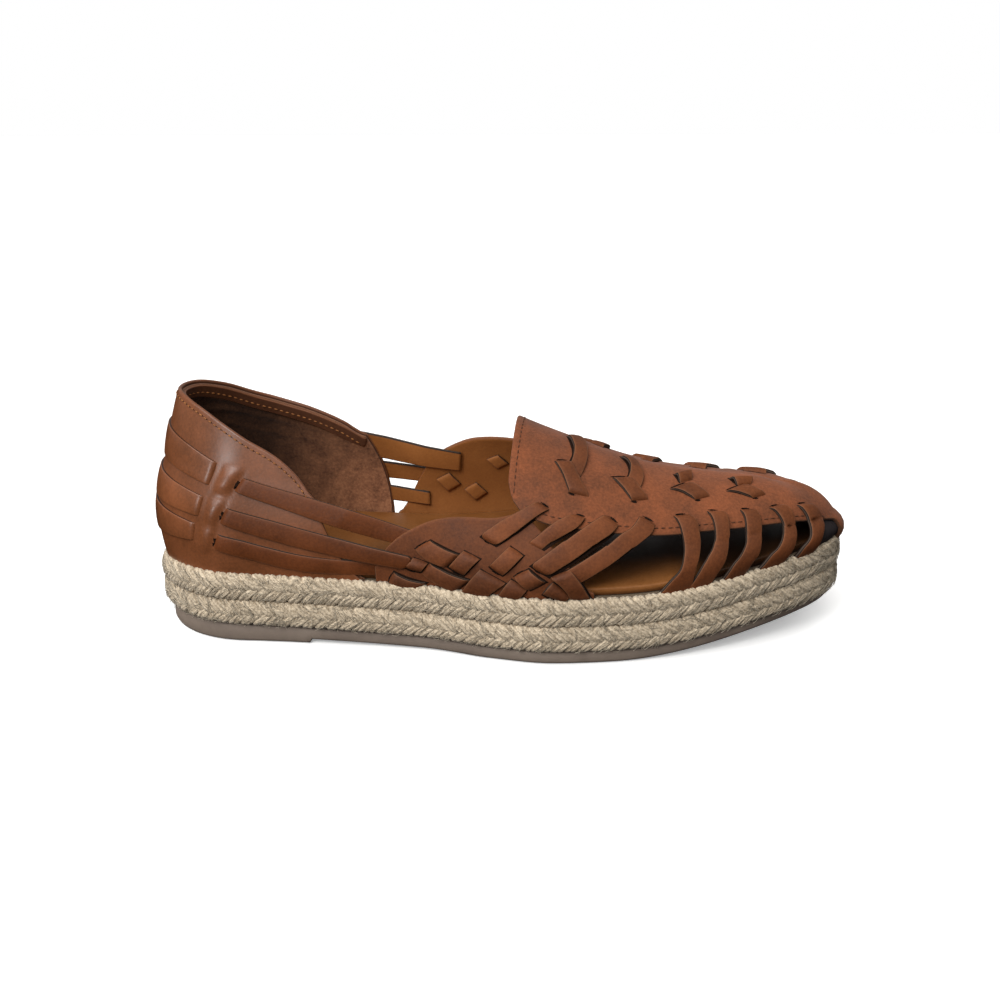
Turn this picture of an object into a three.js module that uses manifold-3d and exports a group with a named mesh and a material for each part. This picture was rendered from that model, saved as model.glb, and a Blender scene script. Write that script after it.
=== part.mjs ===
// A woven leather flat on a plaited jute platform: a right shoe, in millimetres.
// The toe points to +X, the outer side of the foot to -Y and up is +Z. Stations are measured
// along the sole from the back of the heel, and a rise runs from 0 at the edge of the footbed
// to 1 at the ridge over the instep.
import * as THREE from 'three';
import { mergeVertices } from 'three/addons/utils/BufferGeometryUtils.js';
import Module from 'manifold-3d';

const wasm = await Module();
wasm.setup();

// Sole
const SOLE_LENGTH = 260;
const HEEL_ROUND = 38;
const TIP_DRIFT = 1.7;
const TIP_DRIFT_FROM = 150;
const BRAID_HEIGHT = 10.2;
const FOREFOOT_OUTSOLE = 5;
const TOE_OUTSOLE = 3;
const HEEL_RISE = 4.4;
const HEEL_RISE_END = 125;
const TOE_SPRING = 8;
const TOE_SPRING_FROM = 165;
const HEEL_BREAST = 57;
const HEEL_BREAST_SLOPE = 0.8;
const OUTSOLE_INSET = 4;
const OUTSOLE_EDGE_ROUND = 1.2;
const OUTSOLE_EDGE_LEAST = 0.5;
const BREAST_CLEARANCE = 2;
const FOOTBED_THICKNESS = 2.6;
const FOOTBED_EDGE_ROUND = 0.6;
const SEAM = 0.3;

// Leather
const WALL = 1.6;
const LINED_WALL_INSIDE = -0.7;
const QUARTER_TUCK = 0.4;
const STRAP_SINK = 1;
const STRAP_THICKNESS = 2.2;
const TRIM_REACH = 10;

// Half widths of the sole between heel and ball, and the curve from the ball to the tip
const OUTER_SIDE = {
  rows: [
    { at: 38, half: 35 },
    { at: 70, half: 36.3 },
    { at: 105, half: 39 },
    { at: 130, half: 45 },
    { at: 150, half: 48 },
  ],
  taper: 1.5,
  roundness: 1.75,
};
const INNER_SIDE = {
  rows: [
    { at: 38, half: 34.5 },
    { at: 70, half: 33.5 },
    { at: 100, half: 33.5 },
    { at: 135, half: 40.5 },
    { at: 168, half: 46.5 },
  ],
  taper: 1.7,
  roundness: 1.75,
};

// Side of a braid row: inset from the outline at each share of its height
const BRAID_SIDE = [
  { share: 0, inset: 2 },
  { share: 0.2, inset: 0.6 },
  { share: 0.5, inset: 0 },
  { share: 0.8, inset: 0.6 },
  { share: 1, inset: 2 },
];

// Foot of the upper's wall, its fullness and its bulge over the sole
const WALL_ROWS = [
  { at: 0, inset: 3.4, power: 1.75, bulge: 2 },
  { at: 20, inset: 3.9, power: 1.76, bulge: 1.6 },
  { at: 60, inset: 4, power: 1.8, bulge: 1.1 },
  { at: 120, inset: 4, power: 1.98, bulge: 1 },
  { at: 200, inset: 4, power: 2.28, bulge: 1.2 },
  { at: 245, inset: 3, power: 2.5, bulge: 1.8 },
  { at: 260, inset: 2, power: 2.6, bulge: 2 },
];
const BULGE_SHARE = 0.42;

// Ridge of the last over the instep: its height over the footbed edge and its drift to the inner side
const RIDGE_ROWS = [
  { at: 34, height: 88, drift: 0 },
  { at: 70, height: 82, drift: 1 },
  { at: 105, height: 68, drift: 2.2 },
  { at: 137, height: 52, drift: 3.5 },
  { at: 157, height: 44.5, drift: 3.3 },
  { at: 183, height: 36, drift: 2.7 },
  { at: 206, height: 30.5, drift: 2.2 },
  { at: 222, height: 27, drift: 1.8 },
  { at: 236, height: 23.3, drift: 1.5 },
];

// Heel counter: rise of the collar on each side, and the front edge that slopes down to the sole
const COLLAR_ROWS = [
  { at: 0, outer: 0.51, inner: 0.51 },
  { at: 12, outer: 0.485, inner: 0.485 },
  { at: 26, outer: 0.44, inner: 0.446 },
  { at: 37, outer: 0.4, inner: 0.428 },
  { at: 48, outer: 0.36, inner: 0.41 },
  { at: 57, outer: 0.31, inner: 0.39 },
  { at: 64, outer: 0.25, inner: 0.37 },
  { at: 74, outer: 0.2, inner: 0.332 },
];
const COUNTER_FRONT = {
  outer: { top: 65, foot: 78, curve: 1 },
  inner: { top: 74, foot: 85.5, curve: 2.4 },
};

// Vamp plug: rise of its lower edge, from the throat to the tip of the toe, where it reaches the sole
const PLUG_ROWS = [
  { at: 134, edge: 0.43 },
  { at: 140, edge: 0.34 },
  { at: 152, edge: 0.33 },
  { at: 191, edge: 0.34 },
  { at: 220, edge: 0.335 },
  { at: 245, edge: 0.28 },
  { at: 254.5, edge: 0.24 },
  { at: 258, edge: 0.02 },
  { at: 260, edge: 0 },
];

// Quarter: the half moon beside the foot, rise of its top edge on each side
const QUARTER_ROWS = [
  { at: 89, outer: 0.06, inner: 0.02 },
  { at: 93, outer: 0.13, inner: 0.07 },
  { at: 97, outer: 0.167, inner: 0.17 },
  { at: 101, outer: 0.2, inner: 0.265 },
  { at: 109, outer: 0.255, inner: 0.36 },
  { at: 118, outer: 0.283, inner: 0.435 },
  { at: 130, outer: 0.302, inner: 0.485 },
  { at: 140, outer: 0.36, inner: 0.5 },
  { at: 146, outer: 0.31, inner: 0.4 },
  { at: 153, outer: 0.21, inner: 0.25 },
  { at: 160, outer: 0.12, inner: 0.13 },
  { at: 166, outer: 0.03, inner: 0.03 },
];

// Straps laid on or between the panels: they run through three places on the wall,
// and their lift is the height of the strap's underside over the last at each end
const TOE_STRAPS = [
  { at: 201.5, rise: 0.48, midAt: 203, midRise: 0.285, footAt: 196 },
  { at: 213, rise: 0.47, midAt: 214.8, midRise: 0.285, footAt: 208.5 },
  { at: 226, rise: 0.465, midAt: 227, midRise: 0.265, footAt: 221.5 },
  { at: 237.5, rise: 0.455, midAt: 239.5, midRise: 0.25, footAt: 235 },
  { at: 248.5, rise: 0.43, midAt: 249.5, midRise: 0.2, footAt: 247.5 },
];
const TOE_STRAP_WIDTH = 6.8;
const TOE_STRAP_BOW = 1;
const TOE_STRAP_LOW_SHARE = 0.4;

const SIDE_STRAPS = [
  { at: 148.5, rise: 0.43, midAt: 138, midRise: 0.31, footAt: 127, footRise: 0.215 },
  { at: 163, rise: 0.41, midAt: 151, midRise: 0.29, footAt: 139, footRise: 0.21 },
  { at: 175, rise: 0.425, midAt: 160, midRise: 0.27, footAt: 145.5, footRise: 0.125 },
  { at: 188, rise: 0.45, midAt: 174, midRise: 0.27, footAt: 160, footRise: 0.1 },
];
const SIDE_STRAP_WIDTH = 7.6;

const HEEL_STRAPS = {
  outer: [
    { at: 35, rise: 0.262, midAt: 66, midRise: 0.211, footAt: 99, footRise: 0.155, width: 6.6 },
    { at: 30.5, rise: 0.166, midAt: 64, midRise: 0.107, footAt: 97, footRise: 0.07, width: 6.6 },
    { at: 27, rise: 0.083, midAt: 58, midRise: 0.047, footAt: 92, footRise: 0.03, width: 6.6 },
  ],
  inner: [
    { at: 35, rise: 0.275, midAt: 72, midRise: 0.286, footAt: 110, footRise: 0.288, width: 8 },
    { at: 30.5, rise: 0.175, midAt: 66, midRise: 0.182, footAt: 101, footRise: 0.182, width: 6.6 },
    { at: 27, rise: 0.09, midAt: 62, midRise: 0.094, footAt: 101, footRise: 0.085, width: 6.6 },
  ],
};

// Bands of the heel straps round the back, from slit to slit
const HEEL_BANDS = [
  { slitAt: 25, slitRise: 0.285, backRise: 0.355 },
  { slitAt: 22.5, slitRise: 0.182, backRise: 0.222 },
  { slitAt: 20, slitRise: 0.098, backRise: 0.13 },
];
const HEEL_BAND_WIDTH = 8.4;
const HEEL_BAND_SHARES = [1, 0.5, 0, -0.5, -1];

// Weave of the quarter: the squares where a strip lies on top
const WEAVE_SQUARES = [
  { at: 104.5, rise: 0.148, toAt: 114.3, toRise: 0.104 },
  { at: 105, rise: 0.053, toAt: 115.5, toRise: 0.02 },
  { at: 91.5, rise: 0.028, toAt: 101, toRise: 0.014 },
  { at: 121.8, rise: 0.152, toAt: 115.5, toRise: 0.055 },
  { at: 138.5, rise: 0.212, toAt: 130, toRise: 0.092 },
  { at: 127.5, rise: 0.075, toAt: 122.5, toRise: 0.012 },
  { at: 139.5, rise: 0.068, toAt: 135.5, toRise: 0.012 },
  { at: 139.5, rise: 0.105, toAt: 147, toRise: 0.06 },
  { at: 157, rise: 0.125, toAt: 163, toRise: 0.03 },
  { at: 154.5, rise: 0.062, toAt: 151.5, toRise: 0.012 },
];
const WEAVE_WIDTH = 7;

// Straps woven through the vamp plug: one down each side and one over the ridge
const VAMP_STRAPS = [
  { at: 156.5, rise: 0.74, footAt: 162, footRise: 0.515 },
  { at: 181, rise: 0.725, footAt: 186.5, footRise: 0.53 },
  { at: 204, rise: 0.69, footAt: 208.5, footRise: 0.54 },
  { at: 226, rise: 0.65, footAt: 232, footRise: 0.53 },
];
const VAMP_STRAP_WIDTH = 5.8;
const RIDGE_STRAP_LEAD = 3;

// Fineness of the facets
const SOLE_FACETS = 72;
const PLUG_FACETS = { along: 40, across: 7 };
const COUNTER_FACETS = { along: 30, across: 5 };
const QUARTER_FACETS = { along: 18, across: 3 };
const STRAP_FACETS = { toe: 6, side: 4, heel: 5, weave: 1, vamp: 2, ridge: 4, band: 12 };
const DIFFERENCE_STEP = 0.002;
const POINT_TOLERANCE = 1e-4;
const SLIVER_TOLERANCE = 1e-3;

const RIDGE_FIRST = RIDGE_ROWS[0].at;
const RIDGE_LAST = RIDGE_ROWS[RIDGE_ROWS.length - 1].at;

// A smooth curve through one column of a table, level at both ends, that never swings past its rows
function column(rows, key) {
  const x = rows.map((row) => row.at);
  const y = rows.map((row) => row[key]);
  const chord = x.slice(1).map((next, i) => (y[i + 1] - y[i]) / (next - x[i]));
  const slope = y.map((_, i) => {
    if (i === 0 || i === y.length - 1) return 0;
    if (chord[i - 1] * chord[i] <= 0) return 0;
    const before = 2 * (x[i + 1] - x[i]) + (x[i] - x[i - 1]);
    const after = (x[i + 1] - x[i]) + 2 * (x[i] - x[i - 1]);
    return (before + after) / (before / chord[i - 1] + after / chord[i]);
  });
  return (at) => {
    const place = THREE.MathUtils.clamp(at, x[0], x[x.length - 1]);
    const i = Math.min(x.length - 2, x.findLastIndex((value) => value <= place));
    const span = x[i + 1] - x[i];
    const t = (place - x[i]) / span;
    const rest = 1 - t;
    return y[i] * (1 + 2 * t) * rest * rest
      + slope[i] * span * t * rest * rest
      + y[i + 1] * t * t * (3 - 2 * t)
      - slope[i + 1] * span * t * t * rest;
  };
}

const outerHalf = column(OUTER_SIDE.rows, 'half');
const innerHalf = column(INNER_SIDE.rows, 'half');
const wallInset = column(WALL_ROWS, 'inset');
const wallPower = column(WALL_ROWS, 'power');
const wallBulge = column(WALL_ROWS, 'bulge');
const ridgeHeight = column(RIDGE_ROWS, 'height');
const ridgeDrift = column(RIDGE_ROWS, 'drift');
const collarOuter = column(COLLAR_ROWS, 'outer');
const collarInner = column(COLLAR_ROWS, 'inner');
const plugEdge = column(PLUG_ROWS, 'edge');
const quarterOuter = column(QUARTER_ROWS, 'outer');
const quarterInner = column(QUARTER_ROWS, 'inner');

// Half width of the sole: an elliptic heel, the table, then a tapering curve to the tip
function halfWidth(at, side, middle) {
  const last = side.rows[side.rows.length - 1];
  if (at < HEEL_ROUND) {
    return side.rows[0].half * Math.sqrt(Math.max(0, 1 - ((HEEL_ROUND - at) / HEEL_ROUND) ** 2));
  }
  if (at < last.at) return middle(at);
  const t = Math.min(1, (at - last.at) / (SOLE_LENGTH - last.at));
  return last.half * (1 - t ** side.taper) ** (1 / side.roundness);
}

// The angle runs round the sole: 0 at the back, pi at the tip, positive along the outer side
function station(angle) {
  return SOLE_LENGTH * (1 - Math.cos(angle)) / 2;
}

function angleAt(at) {
  return Math.acos(1 - 2 * at / SOLE_LENGTH);
}

function solePoint(angle) {
  const x = station(angle);
  const onOuter = Math.sin(angle) >= 0;
  const half = onOuter ? -halfWidth(x, OUTER_SIDE, outerHalf) : halfWidth(x, INNER_SIDE, innerHalf);
  const drift = Math.max(0, (x - TIP_DRIFT_FROM) / (SOLE_LENGTH - TIP_DRIFT_FROM));
  return new THREE.Vector2(x, half + TIP_DRIFT * drift ** 2);
}

function insetPoint(angle, inset) {
  const point = solePoint(angle);
  const ahead = solePoint(angle + DIFFERENCE_STEP);
  const along = ahead.sub(solePoint(angle - DIFFERENCE_STEP)).normalize();
  return point.add(new THREE.Vector2(-along.y, along.x).multiplyScalar(inset));
}

// Height of the underside of the jute over the ground
function juteBottom(at) {
  const heel = HEEL_RISE * Math.max(0, 1 - at / HEEL_RISE_END);
  const toe = Math.max(0, (at - TOE_SPRING_FROM) / (SOLE_LENGTH - TOE_SPRING_FROM));
  return FOREFOOT_OUTSOLE + heel + TOE_SPRING * toe ** 2;
}

function wallFoot(at) {
  return juteBottom(at) + 2 * BRAID_HEIGHT + SEAM;
}

// A place on the last: past the ridge, a rise over 1 comes down on the other side
function lastPoint(angle, rise) {
  if (rise > 1) return lastPoint(-angle, 2 - rise);
  const at = station(angle);
  const foot = insetPoint(angle, wallInset(at));
  const ridgeAt = THREE.MathUtils.lerp(RIDGE_FIRST, RIDGE_LAST, at / SOLE_LENGTH);
  const ridge = new THREE.Vector2(ridgeAt, ridgeDrift(ridgeAt));
  const height = ridgeHeight(ridgeAt);
  const power = wallPower(at);
  const cos = Math.cos(rise * Math.PI / 2);
  const sin = Math.sin(rise * Math.PI / 2);
  const size = (Math.abs(cos) ** power + Math.abs(sin) ** power) ** (1 / power);
  const inward = 1 - cos / size;
  const upward = Math.max(0, sin / size);
  const swell = wallBulge(at) * Math.sin(Math.PI * Math.min(1, upward / BULGE_SHARE));
  const share = inward - swell / foot.distanceTo(ridge);
  const footHeight = wallFoot(foot.x);
  const plan = foot.lerp(ridge, share);
  const base = THREE.MathUtils.lerp(footHeight, wallFoot(ridgeAt), inward);
  return new THREE.Vector3(plan.x, plan.y, base + upward * height);
}

function lastNormal(angle, rise) {
  const step = DIFFERENCE_STEP;
  const low = Math.max(rise, step);
  const along = lastPoint(angle + step, low).sub(lastPoint(angle - step, low));
  const up = lastPoint(angle, low + step).sub(lastPoint(angle, low - step));
  return along.cross(up).normalize();
}

function lifted(angle, rise, lift) {
  return lastPoint(angle, rise).addScaledVector(lastNormal(angle, rise), lift);
}

function signedVolume(points, faces) {
  return faces.reduce((sum, [a, b, c]) => {
    const cross = new THREE.Vector3().crossVectors(points[b], points[c]);
    return sum + points[a].dot(cross);
  }, 0);
}

// A closed solid from an indexed geometry: near points are merged and collapsed faces dropped
function solidFrom(geometry, tolerance) {
  const merged = mergeVertices(geometry, tolerance);
  const index = merged.index.array;
  const kept = [];
  for (let i = 0; i < index.length; i += 3) {
    const [a, b, c] = index.subarray(i, i + 3);
    if (a !== b && b !== c && c !== a) kept.push(a, b, c);
  }
  return new wasm.Manifold(new wasm.Mesh({
    numProp: 3,
    vertProperties: new Float32Array(merged.attributes.position.array),
    triVerts: new Uint32Array(kept),
  }));
}

// A closed solid from points and faces, with its faces turned outwards
function closedSolid(points, faces) {
  const outward = signedVolume(points, faces) > 0;
  const turned = outward ? faces : faces.map(([a, b, c]) => [a, c, b]);
  const geometry = new THREE.BufferGeometry();
  geometry.setAttribute('position', new THREE.Float32BufferAttribute(points.flatMap((p) => p.toArray()), 3));
  geometry.setIndex(turned.flat());
  return solidFrom(geometry, POINT_TOLERANCE);
}

function geometryOf(solid) {
  const { vertProperties, triVerts } = solid.getMesh();
  const geometry = new THREE.BufferGeometry();
  geometry.setAttribute('position', new THREE.BufferAttribute(vertProperties, 3));
  geometry.setIndex(new THREE.BufferAttribute(triVerts, 1));
  return geometry;
}

// The outer skin of joined leather: slivers are merged, and pockets sealed under a strap are filled
function outerSkin(solid) {
  const shells = solidFrom(geometryOf(solid), SLIVER_TOLERANCE).decompose();
  return shells.reduce((largest, next) => (next.volume() > largest.volume() ? next : largest));
}

// A sheet between two skins: pointAt(i, j, skin) over a grid, with walls on the named open sides
function sheet(along, across, pointAt, open) {
  const points = [];
  const faces = [];
  const spot = (i, j, skin) => (i * (across + 1) + j) * 2 + skin;
  const quad = (a, b, c, d) => faces.push([a, b, c], [a, c, d]);
  for (let i = 0; i <= along; i += 1) {
    for (let j = 0; j <= across; j += 1) points.push(pointAt(i, j, 0), pointAt(i, j, 1));
  }
  for (let i = 0; i < along; i += 1) {
    for (let j = 0; j < across; j += 1) {
      quad(spot(i, j, 1), spot(i + 1, j, 1), spot(i + 1, j + 1, 1), spot(i, j + 1, 1));
      quad(spot(i, j, 0), spot(i, j + 1, 0), spot(i + 1, j + 1, 0), spot(i + 1, j, 0));
    }
    quad(spot(i, 0, 0), spot(i + 1, 0, 0), spot(i + 1, 0, 1), spot(i, 0, 1));
    if (open.top) {
      quad(spot(i, across, 0), spot(i, across, 1), spot(i + 1, across, 1), spot(i + 1, across, 0));
    }
  }
  for (let j = 0; j < across; j += 1) {
    quad(spot(0, j, 0), spot(0, j, 1), spot(0, j + 1, 1), spot(0, j + 1, 0));
    quad(spot(along, j, 0), spot(along, j + 1, 0), spot(along, j + 1, 1), spot(along, j, 1));
  }
  return closedSolid(points, faces);
}

// A flat strap along a path of [angle, rise, lift], lying on the last
function strap(path, width, facets) {
  const places = path.map((knot) => new THREE.Vector3(...knot));
  const curve = new THREE.CatmullRomCurve3(places, false, 'centripetal');
  const knots = Array.from({ length: facets + 1 }, (_, i) => curve.getPoint(i / facets));
  const centres = knots.map((knot) => lifted(knot.x, knot.y, knot.z));
  const pointAt = (i, j, skin) => {
    const before = centres[Math.max(0, i - 1)];
    const after = centres[Math.min(facets, i + 1)];
    const normal = lastNormal(knots[i].x, knots[i].y);
    const across = new THREE.Vector3().crossVectors(normal, after.clone().sub(before)).normalize();
    return centres[i].clone()
      .addScaledVector(across, (j - 0.5) * width)
      .addScaledVector(normal, skin * STRAP_THICKNESS);
  };
  return sheet(facets, 1, pointAt, { top: true });
}

function joined(solids) {
  return solids.reduce((whole, next) => whole.add(next));
}

// A slab of the sole: closed loops of { inset, height(at) } from the bottom to the top
function slab(loops, stations) {
  const angles = [...stations.map(angleAt), ...stations.slice(1, -1).reverse().map((at) => -angleAt(at))];
  const count = angles.length;
  const points = [];
  const faces = [];
  for (const loop of loops) {
    for (const angle of angles) {
      const plan = insetPoint(angle, loop.inset);
      points.push(new THREE.Vector3(plan.x, plan.y, loop.height(plan.x)));
    }
  }
  for (let level = 0; level < loops.length - 1; level += 1) {
    for (let i = 0; i < count; i += 1) {
      const a = level * count + i;
      const b = level * count + (i + 1) % count;
      faces.push([a, b, b + count], [a, b + count, a + count]);
    }
  }
  const top = (loops.length - 1) * count;
  for (let i = 0; i < stations.length - 1; i += 1) {
    const near = [i, i + 1];
    const far = near.map((n) => (count - n) % count);
    faces.push([near[0], far[1], near[1]], [near[0], far[0], far[1]]);
    faces.push([top + near[0], top + near[1], top + far[1]], [top + near[0], top + far[1], top + far[0]]);
  }
  return closedSolid(points, faces);
}

function evenStations() {
  const half = SOLE_FACETS / 2;
  return Array.from({ length: half + 1 }, (_, i) => station(Math.PI * i / half));
}

// Rubber outsole: flat under heel and ball, a step at the heel breast, sprung up at the toe
function outsole() {
  const underside = (at) => {
    if (at <= HEEL_BREAST) return 0;
    const toe = THREE.MathUtils.clamp((at - TOE_SPRING_FROM) / (SOLE_LENGTH - TOE_SPRING_FROM), 0, 1);
    return juteBottom(at) - THREE.MathUtils.lerp(FOREFOOT_OUTSOLE, TOE_OUTSOLE, toe);
  };
  const topside = (at) => juteBottom(at) - SEAM;
  const edge = (at) => Math.min(topside(at) - OUTSOLE_EDGE_LEAST, underside(at) + OUTSOLE_EDGE_ROUND);
  const breast = [HEEL_BREAST, HEEL_BREAST + HEEL_BREAST_SLOPE];
  const clear = evenStations().filter((at) => breast.every((step) => Math.abs(at - step) > BREAST_CLEARANCE));
  const stations = [...clear, ...breast].sort((a, b) => a - b);
  return slab([
    { inset: OUTSOLE_INSET + OUTSOLE_EDGE_ROUND, height: underside },
    { inset: OUTSOLE_INSET, height: edge },
    { inset: OUTSOLE_INSET, height: topside },
  ], stations);
}

// One row of plaited jute, round at its side like a flattened rope
function juteBraid(row) {
  const bottom = (at) => juteBottom(at) + row * BRAID_HEIGHT;
  const thick = BRAID_HEIGHT - (row === 0 ? SEAM : 0);
  const loops = BRAID_SIDE.map(({ share, inset }) => ({ inset, height: (at) => bottom(at) + share * thick }));
  return slab(loops, evenStations());
}

// Footbed inside the wall
function insole() {
  const bottom = wallFoot;
  const top = (at) => wallFoot(at) + FOOTBED_THICKNESS;
  const inside = wallInset(SOLE_LENGTH / 2) - LINED_WALL_INSIDE + SEAM;
  return slab([
    { inset: inside, height: bottom },
    { inset: inside, height: (at) => top(at) - FOOTBED_EDGE_ROUND },
    { inset: inside + FOOTBED_EDGE_ROUND, height: top },
  ], evenStations());
}

// Leather panels of the upper
function counter() {
  const { along, across } = COUNTER_FACETS;
  const frontAngle = (side, share) => angleAt(THREE.MathUtils.lerp(side.foot, side.top, share ** side.curve));
  return sheet(along, across, (i, j, skin) => {
    const share = j / across;
    const turn = 1 - 2 * i / along;
    const side = turn >= 0 ? COUNTER_FRONT.outer : COUNTER_FRONT.inner;
    const angle = turn * frontAngle(side, share);
    const collar = (turn >= 0 ? collarOuter : collarInner)(station(turn * angleAt(side.top)));
    return lifted(angle, share * collar, skin ? WALL : LINED_WALL_INSIDE);
  }, { top: true });
}

function vampPlug() {
  const { along, across } = PLUG_FACETS;
  const throat = angleAt(PLUG_ROWS[0].at);
  return sheet(along, across, (i, j, skin) => {
    const angle = THREE.MathUtils.lerp(throat, 2 * Math.PI - throat, i / along);
    const edge = plugEdge(station(angle));
    return lifted(angle, THREE.MathUtils.lerp(edge, 1, j / across), skin * WALL);
  }, { top: false });
}

function quarter(hand) {
  const { along, across } = QUARTER_FACETS;
  const first = QUARTER_ROWS[0].at;
  const last = QUARTER_ROWS[QUARTER_ROWS.length - 1].at;
  const top = hand > 0 ? quarterOuter : quarterInner;
  return sheet(along, across, (i, j, skin) => {
    const at = THREE.MathUtils.lerp(first, last, i / along);
    return lifted(hand * angleAt(at), top(at) * j / across, skin * WALL - QUARTER_TUCK);
  }, { top: true });
}

// Straps of one side of the shoe: hand is 1 on the outer side and -1 on the inner side
function sideStraps(hand) {
  const onWall = WALL - STRAP_SINK;
  const knot = (at, rise, lift) => [hand * angleAt(at), rise, lift];
  const toe = TOE_STRAPS.map((row) => strap([
    knot(row.at, row.rise, onWall),
    knot(row.midAt, row.midRise, onWall),
    knot((row.midAt + row.footAt) / 2 + TOE_STRAP_BOW, row.midRise * TOE_STRAP_LOW_SHARE, onWall / 2),
    knot(row.footAt, 0, 0),
  ], TOE_STRAP_WIDTH, STRAP_FACETS.toe));
  const side = SIDE_STRAPS.map((row) => strap([
    knot(row.at, row.rise, onWall),
    knot(row.midAt, row.midRise, onWall),
    knot(row.footAt, row.footRise, onWall),
  ], SIDE_STRAP_WIDTH, STRAP_FACETS.side));
  const heel = HEEL_STRAPS[hand > 0 ? 'outer' : 'inner'].map((row) => strap([
    knot(row.at, row.rise, onWall),
    knot(row.midAt, row.midRise, onWall),
    knot(row.footAt, row.footRise, 0),
  ], row.width, STRAP_FACETS.heel));
  const weave = WEAVE_SQUARES.map((row) => strap([
    knot(row.at, row.rise, onWall),
    knot(row.toAt, row.toRise, onWall),
  ], WEAVE_WIDTH, STRAP_FACETS.weave));
  const vamp = VAMP_STRAPS.map((row) => strap([
    knot(row.at, row.rise, onWall),
    knot(row.footAt, row.footRise, onWall),
  ], VAMP_STRAP_WIDTH, STRAP_FACETS.vamp));
  return [...toe, ...side, ...heel, ...weave, ...vamp];
}

function ridgeStrap(row) {
  const angle = angleAt(row.at + RIDGE_STRAP_LEAD);
  const onWall = WALL - STRAP_SINK;
  return strap([
    [angle, row.rise, onWall],
    [angle, 1, onWall],
    [angle, 2 - row.rise, onWall],
  ], VAMP_STRAP_WIDTH, STRAP_FACETS.ridge);
}

function heelBand(row) {
  const onWall = WALL - STRAP_SINK;
  const turn = angleAt(row.slitAt);
  const path = HEEL_BAND_SHARES.map((share) => [
    share * turn,
    THREE.MathUtils.lerp(row.backRise, row.slitRise, share * share),
    onWall,
  ]);
  return strap(path, HEEL_BAND_WIDTH, STRAP_FACETS.band);
}

// What lies under the foot of the wall, where the straps are trimmed off along the jute
function underFoot() {
  return slab([
    { inset: -TRIM_REACH, height: () => 0 },
    { inset: -TRIM_REACH, height: wallFoot },
  ], evenStations());
}

function upper() {
  const leather = joined([
    vampPlug(),
    ...[1, -1].map(quarter),
    counter(),
    ...[1, -1].flatMap(sideStraps),
    ...HEEL_BANDS.map(heelBand),
    ...VAMP_STRAPS.map(ridgeStrap),
  ]);
  return leather.subtract(underFoot());
}

function mesh(name, solid, finish) {
  const geometry = geometryOf(solid);
  geometry.computeVertexNormals();
  const piece = new THREE.Mesh(geometry, new THREE.MeshStandardMaterial({ metalness: 0, ...finish }));
  piece.name = name;
  return piece;
}

const JUTE = { color: '#b7a585', roughness: 0.95 };
const PIECES = [
  { name: 'outsole', solid: outsole(), finish: { color: '#7d6d60', roughness: 0.7 } },
  { name: 'jute_braid_lower', solid: juteBraid(0), finish: JUTE },
  { name: 'jute_braid_upper', solid: juteBraid(1), finish: JUTE },
  { name: 'insole', solid: insole(), finish: { color: '#a8662f', roughness: 0.6 } },
  { name: 'upper', solid: upper(), finish: { color: '#84492f', roughness: 0.55 } },
];

// The middle of the shoe's box stands over the origin
const box = new THREE.Box3();
for (const { solid } of PIECES) {
  const { min, max } = solid.boundingBox();
  box.expandByPoint(new THREE.Vector3(...min)).expandByPoint(new THREE.Vector3(...max));
}
const middle = box.getCenter(new THREE.Vector3());

const shoe = new THREE.Group();
for (const { name, solid, finish } of PIECES) {
  shoe.add(mesh(name, outerSkin(solid.translate([-middle.x, -middle.y, 0])), finish));
}

export default shoe;
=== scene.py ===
"""Looks of a right shoe: a woven leather upper on a plaited jute platform.

The leather lies on a last that follows the photograph and stays close to the one of the part's solids.
Sizes are in millimetres, stations are measured along the sole from the back of the heel, and a rise runs
from 0 at the edge of the footbed to 1 at the ridge over the instep. Finished meshes are in metres, in the
part's frame.
"""
import logging
import math
from dataclasses import dataclass, replace
from enum import Enum
from functools import cached_property, partial
from typing import Any, Callable, Iterable, Sequence

import bmesh
import bpy
import numpy as np
from mathutils import Matrix, Vector


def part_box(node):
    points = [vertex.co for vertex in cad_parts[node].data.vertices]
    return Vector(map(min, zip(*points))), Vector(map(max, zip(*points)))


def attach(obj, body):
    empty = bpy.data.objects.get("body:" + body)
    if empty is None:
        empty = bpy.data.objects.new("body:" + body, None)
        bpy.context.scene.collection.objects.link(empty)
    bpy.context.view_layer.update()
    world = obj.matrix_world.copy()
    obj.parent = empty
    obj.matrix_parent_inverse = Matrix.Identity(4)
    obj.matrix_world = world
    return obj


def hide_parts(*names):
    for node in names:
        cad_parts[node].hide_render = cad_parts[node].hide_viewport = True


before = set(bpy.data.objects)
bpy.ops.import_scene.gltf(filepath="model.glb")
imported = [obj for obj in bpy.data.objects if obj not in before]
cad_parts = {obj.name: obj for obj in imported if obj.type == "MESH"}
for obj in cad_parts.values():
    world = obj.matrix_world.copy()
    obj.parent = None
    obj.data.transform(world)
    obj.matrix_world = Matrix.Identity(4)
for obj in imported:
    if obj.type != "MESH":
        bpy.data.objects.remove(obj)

Array = np.ndarray
Rows = tuple[tuple[float, ...], ...]
Edges = tuple[Rows, Rows]
Height = Callable[[Array], Array]
Place = tuple[float, float, float]
LOG = logging.getLogger("shoe")
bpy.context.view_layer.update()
MILLIMETRE = 0.001
SEED = 7
# A dark slit, or a painted shadow in a gap, is a thin strip that lies this deep in the leather's face
SLIT_DEPTH = 0.25
SLIT_THICKNESS = 0.33
# A rounded rim stands out by this share of half the panel's thickness
RIM_REACH = 0.9
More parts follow.
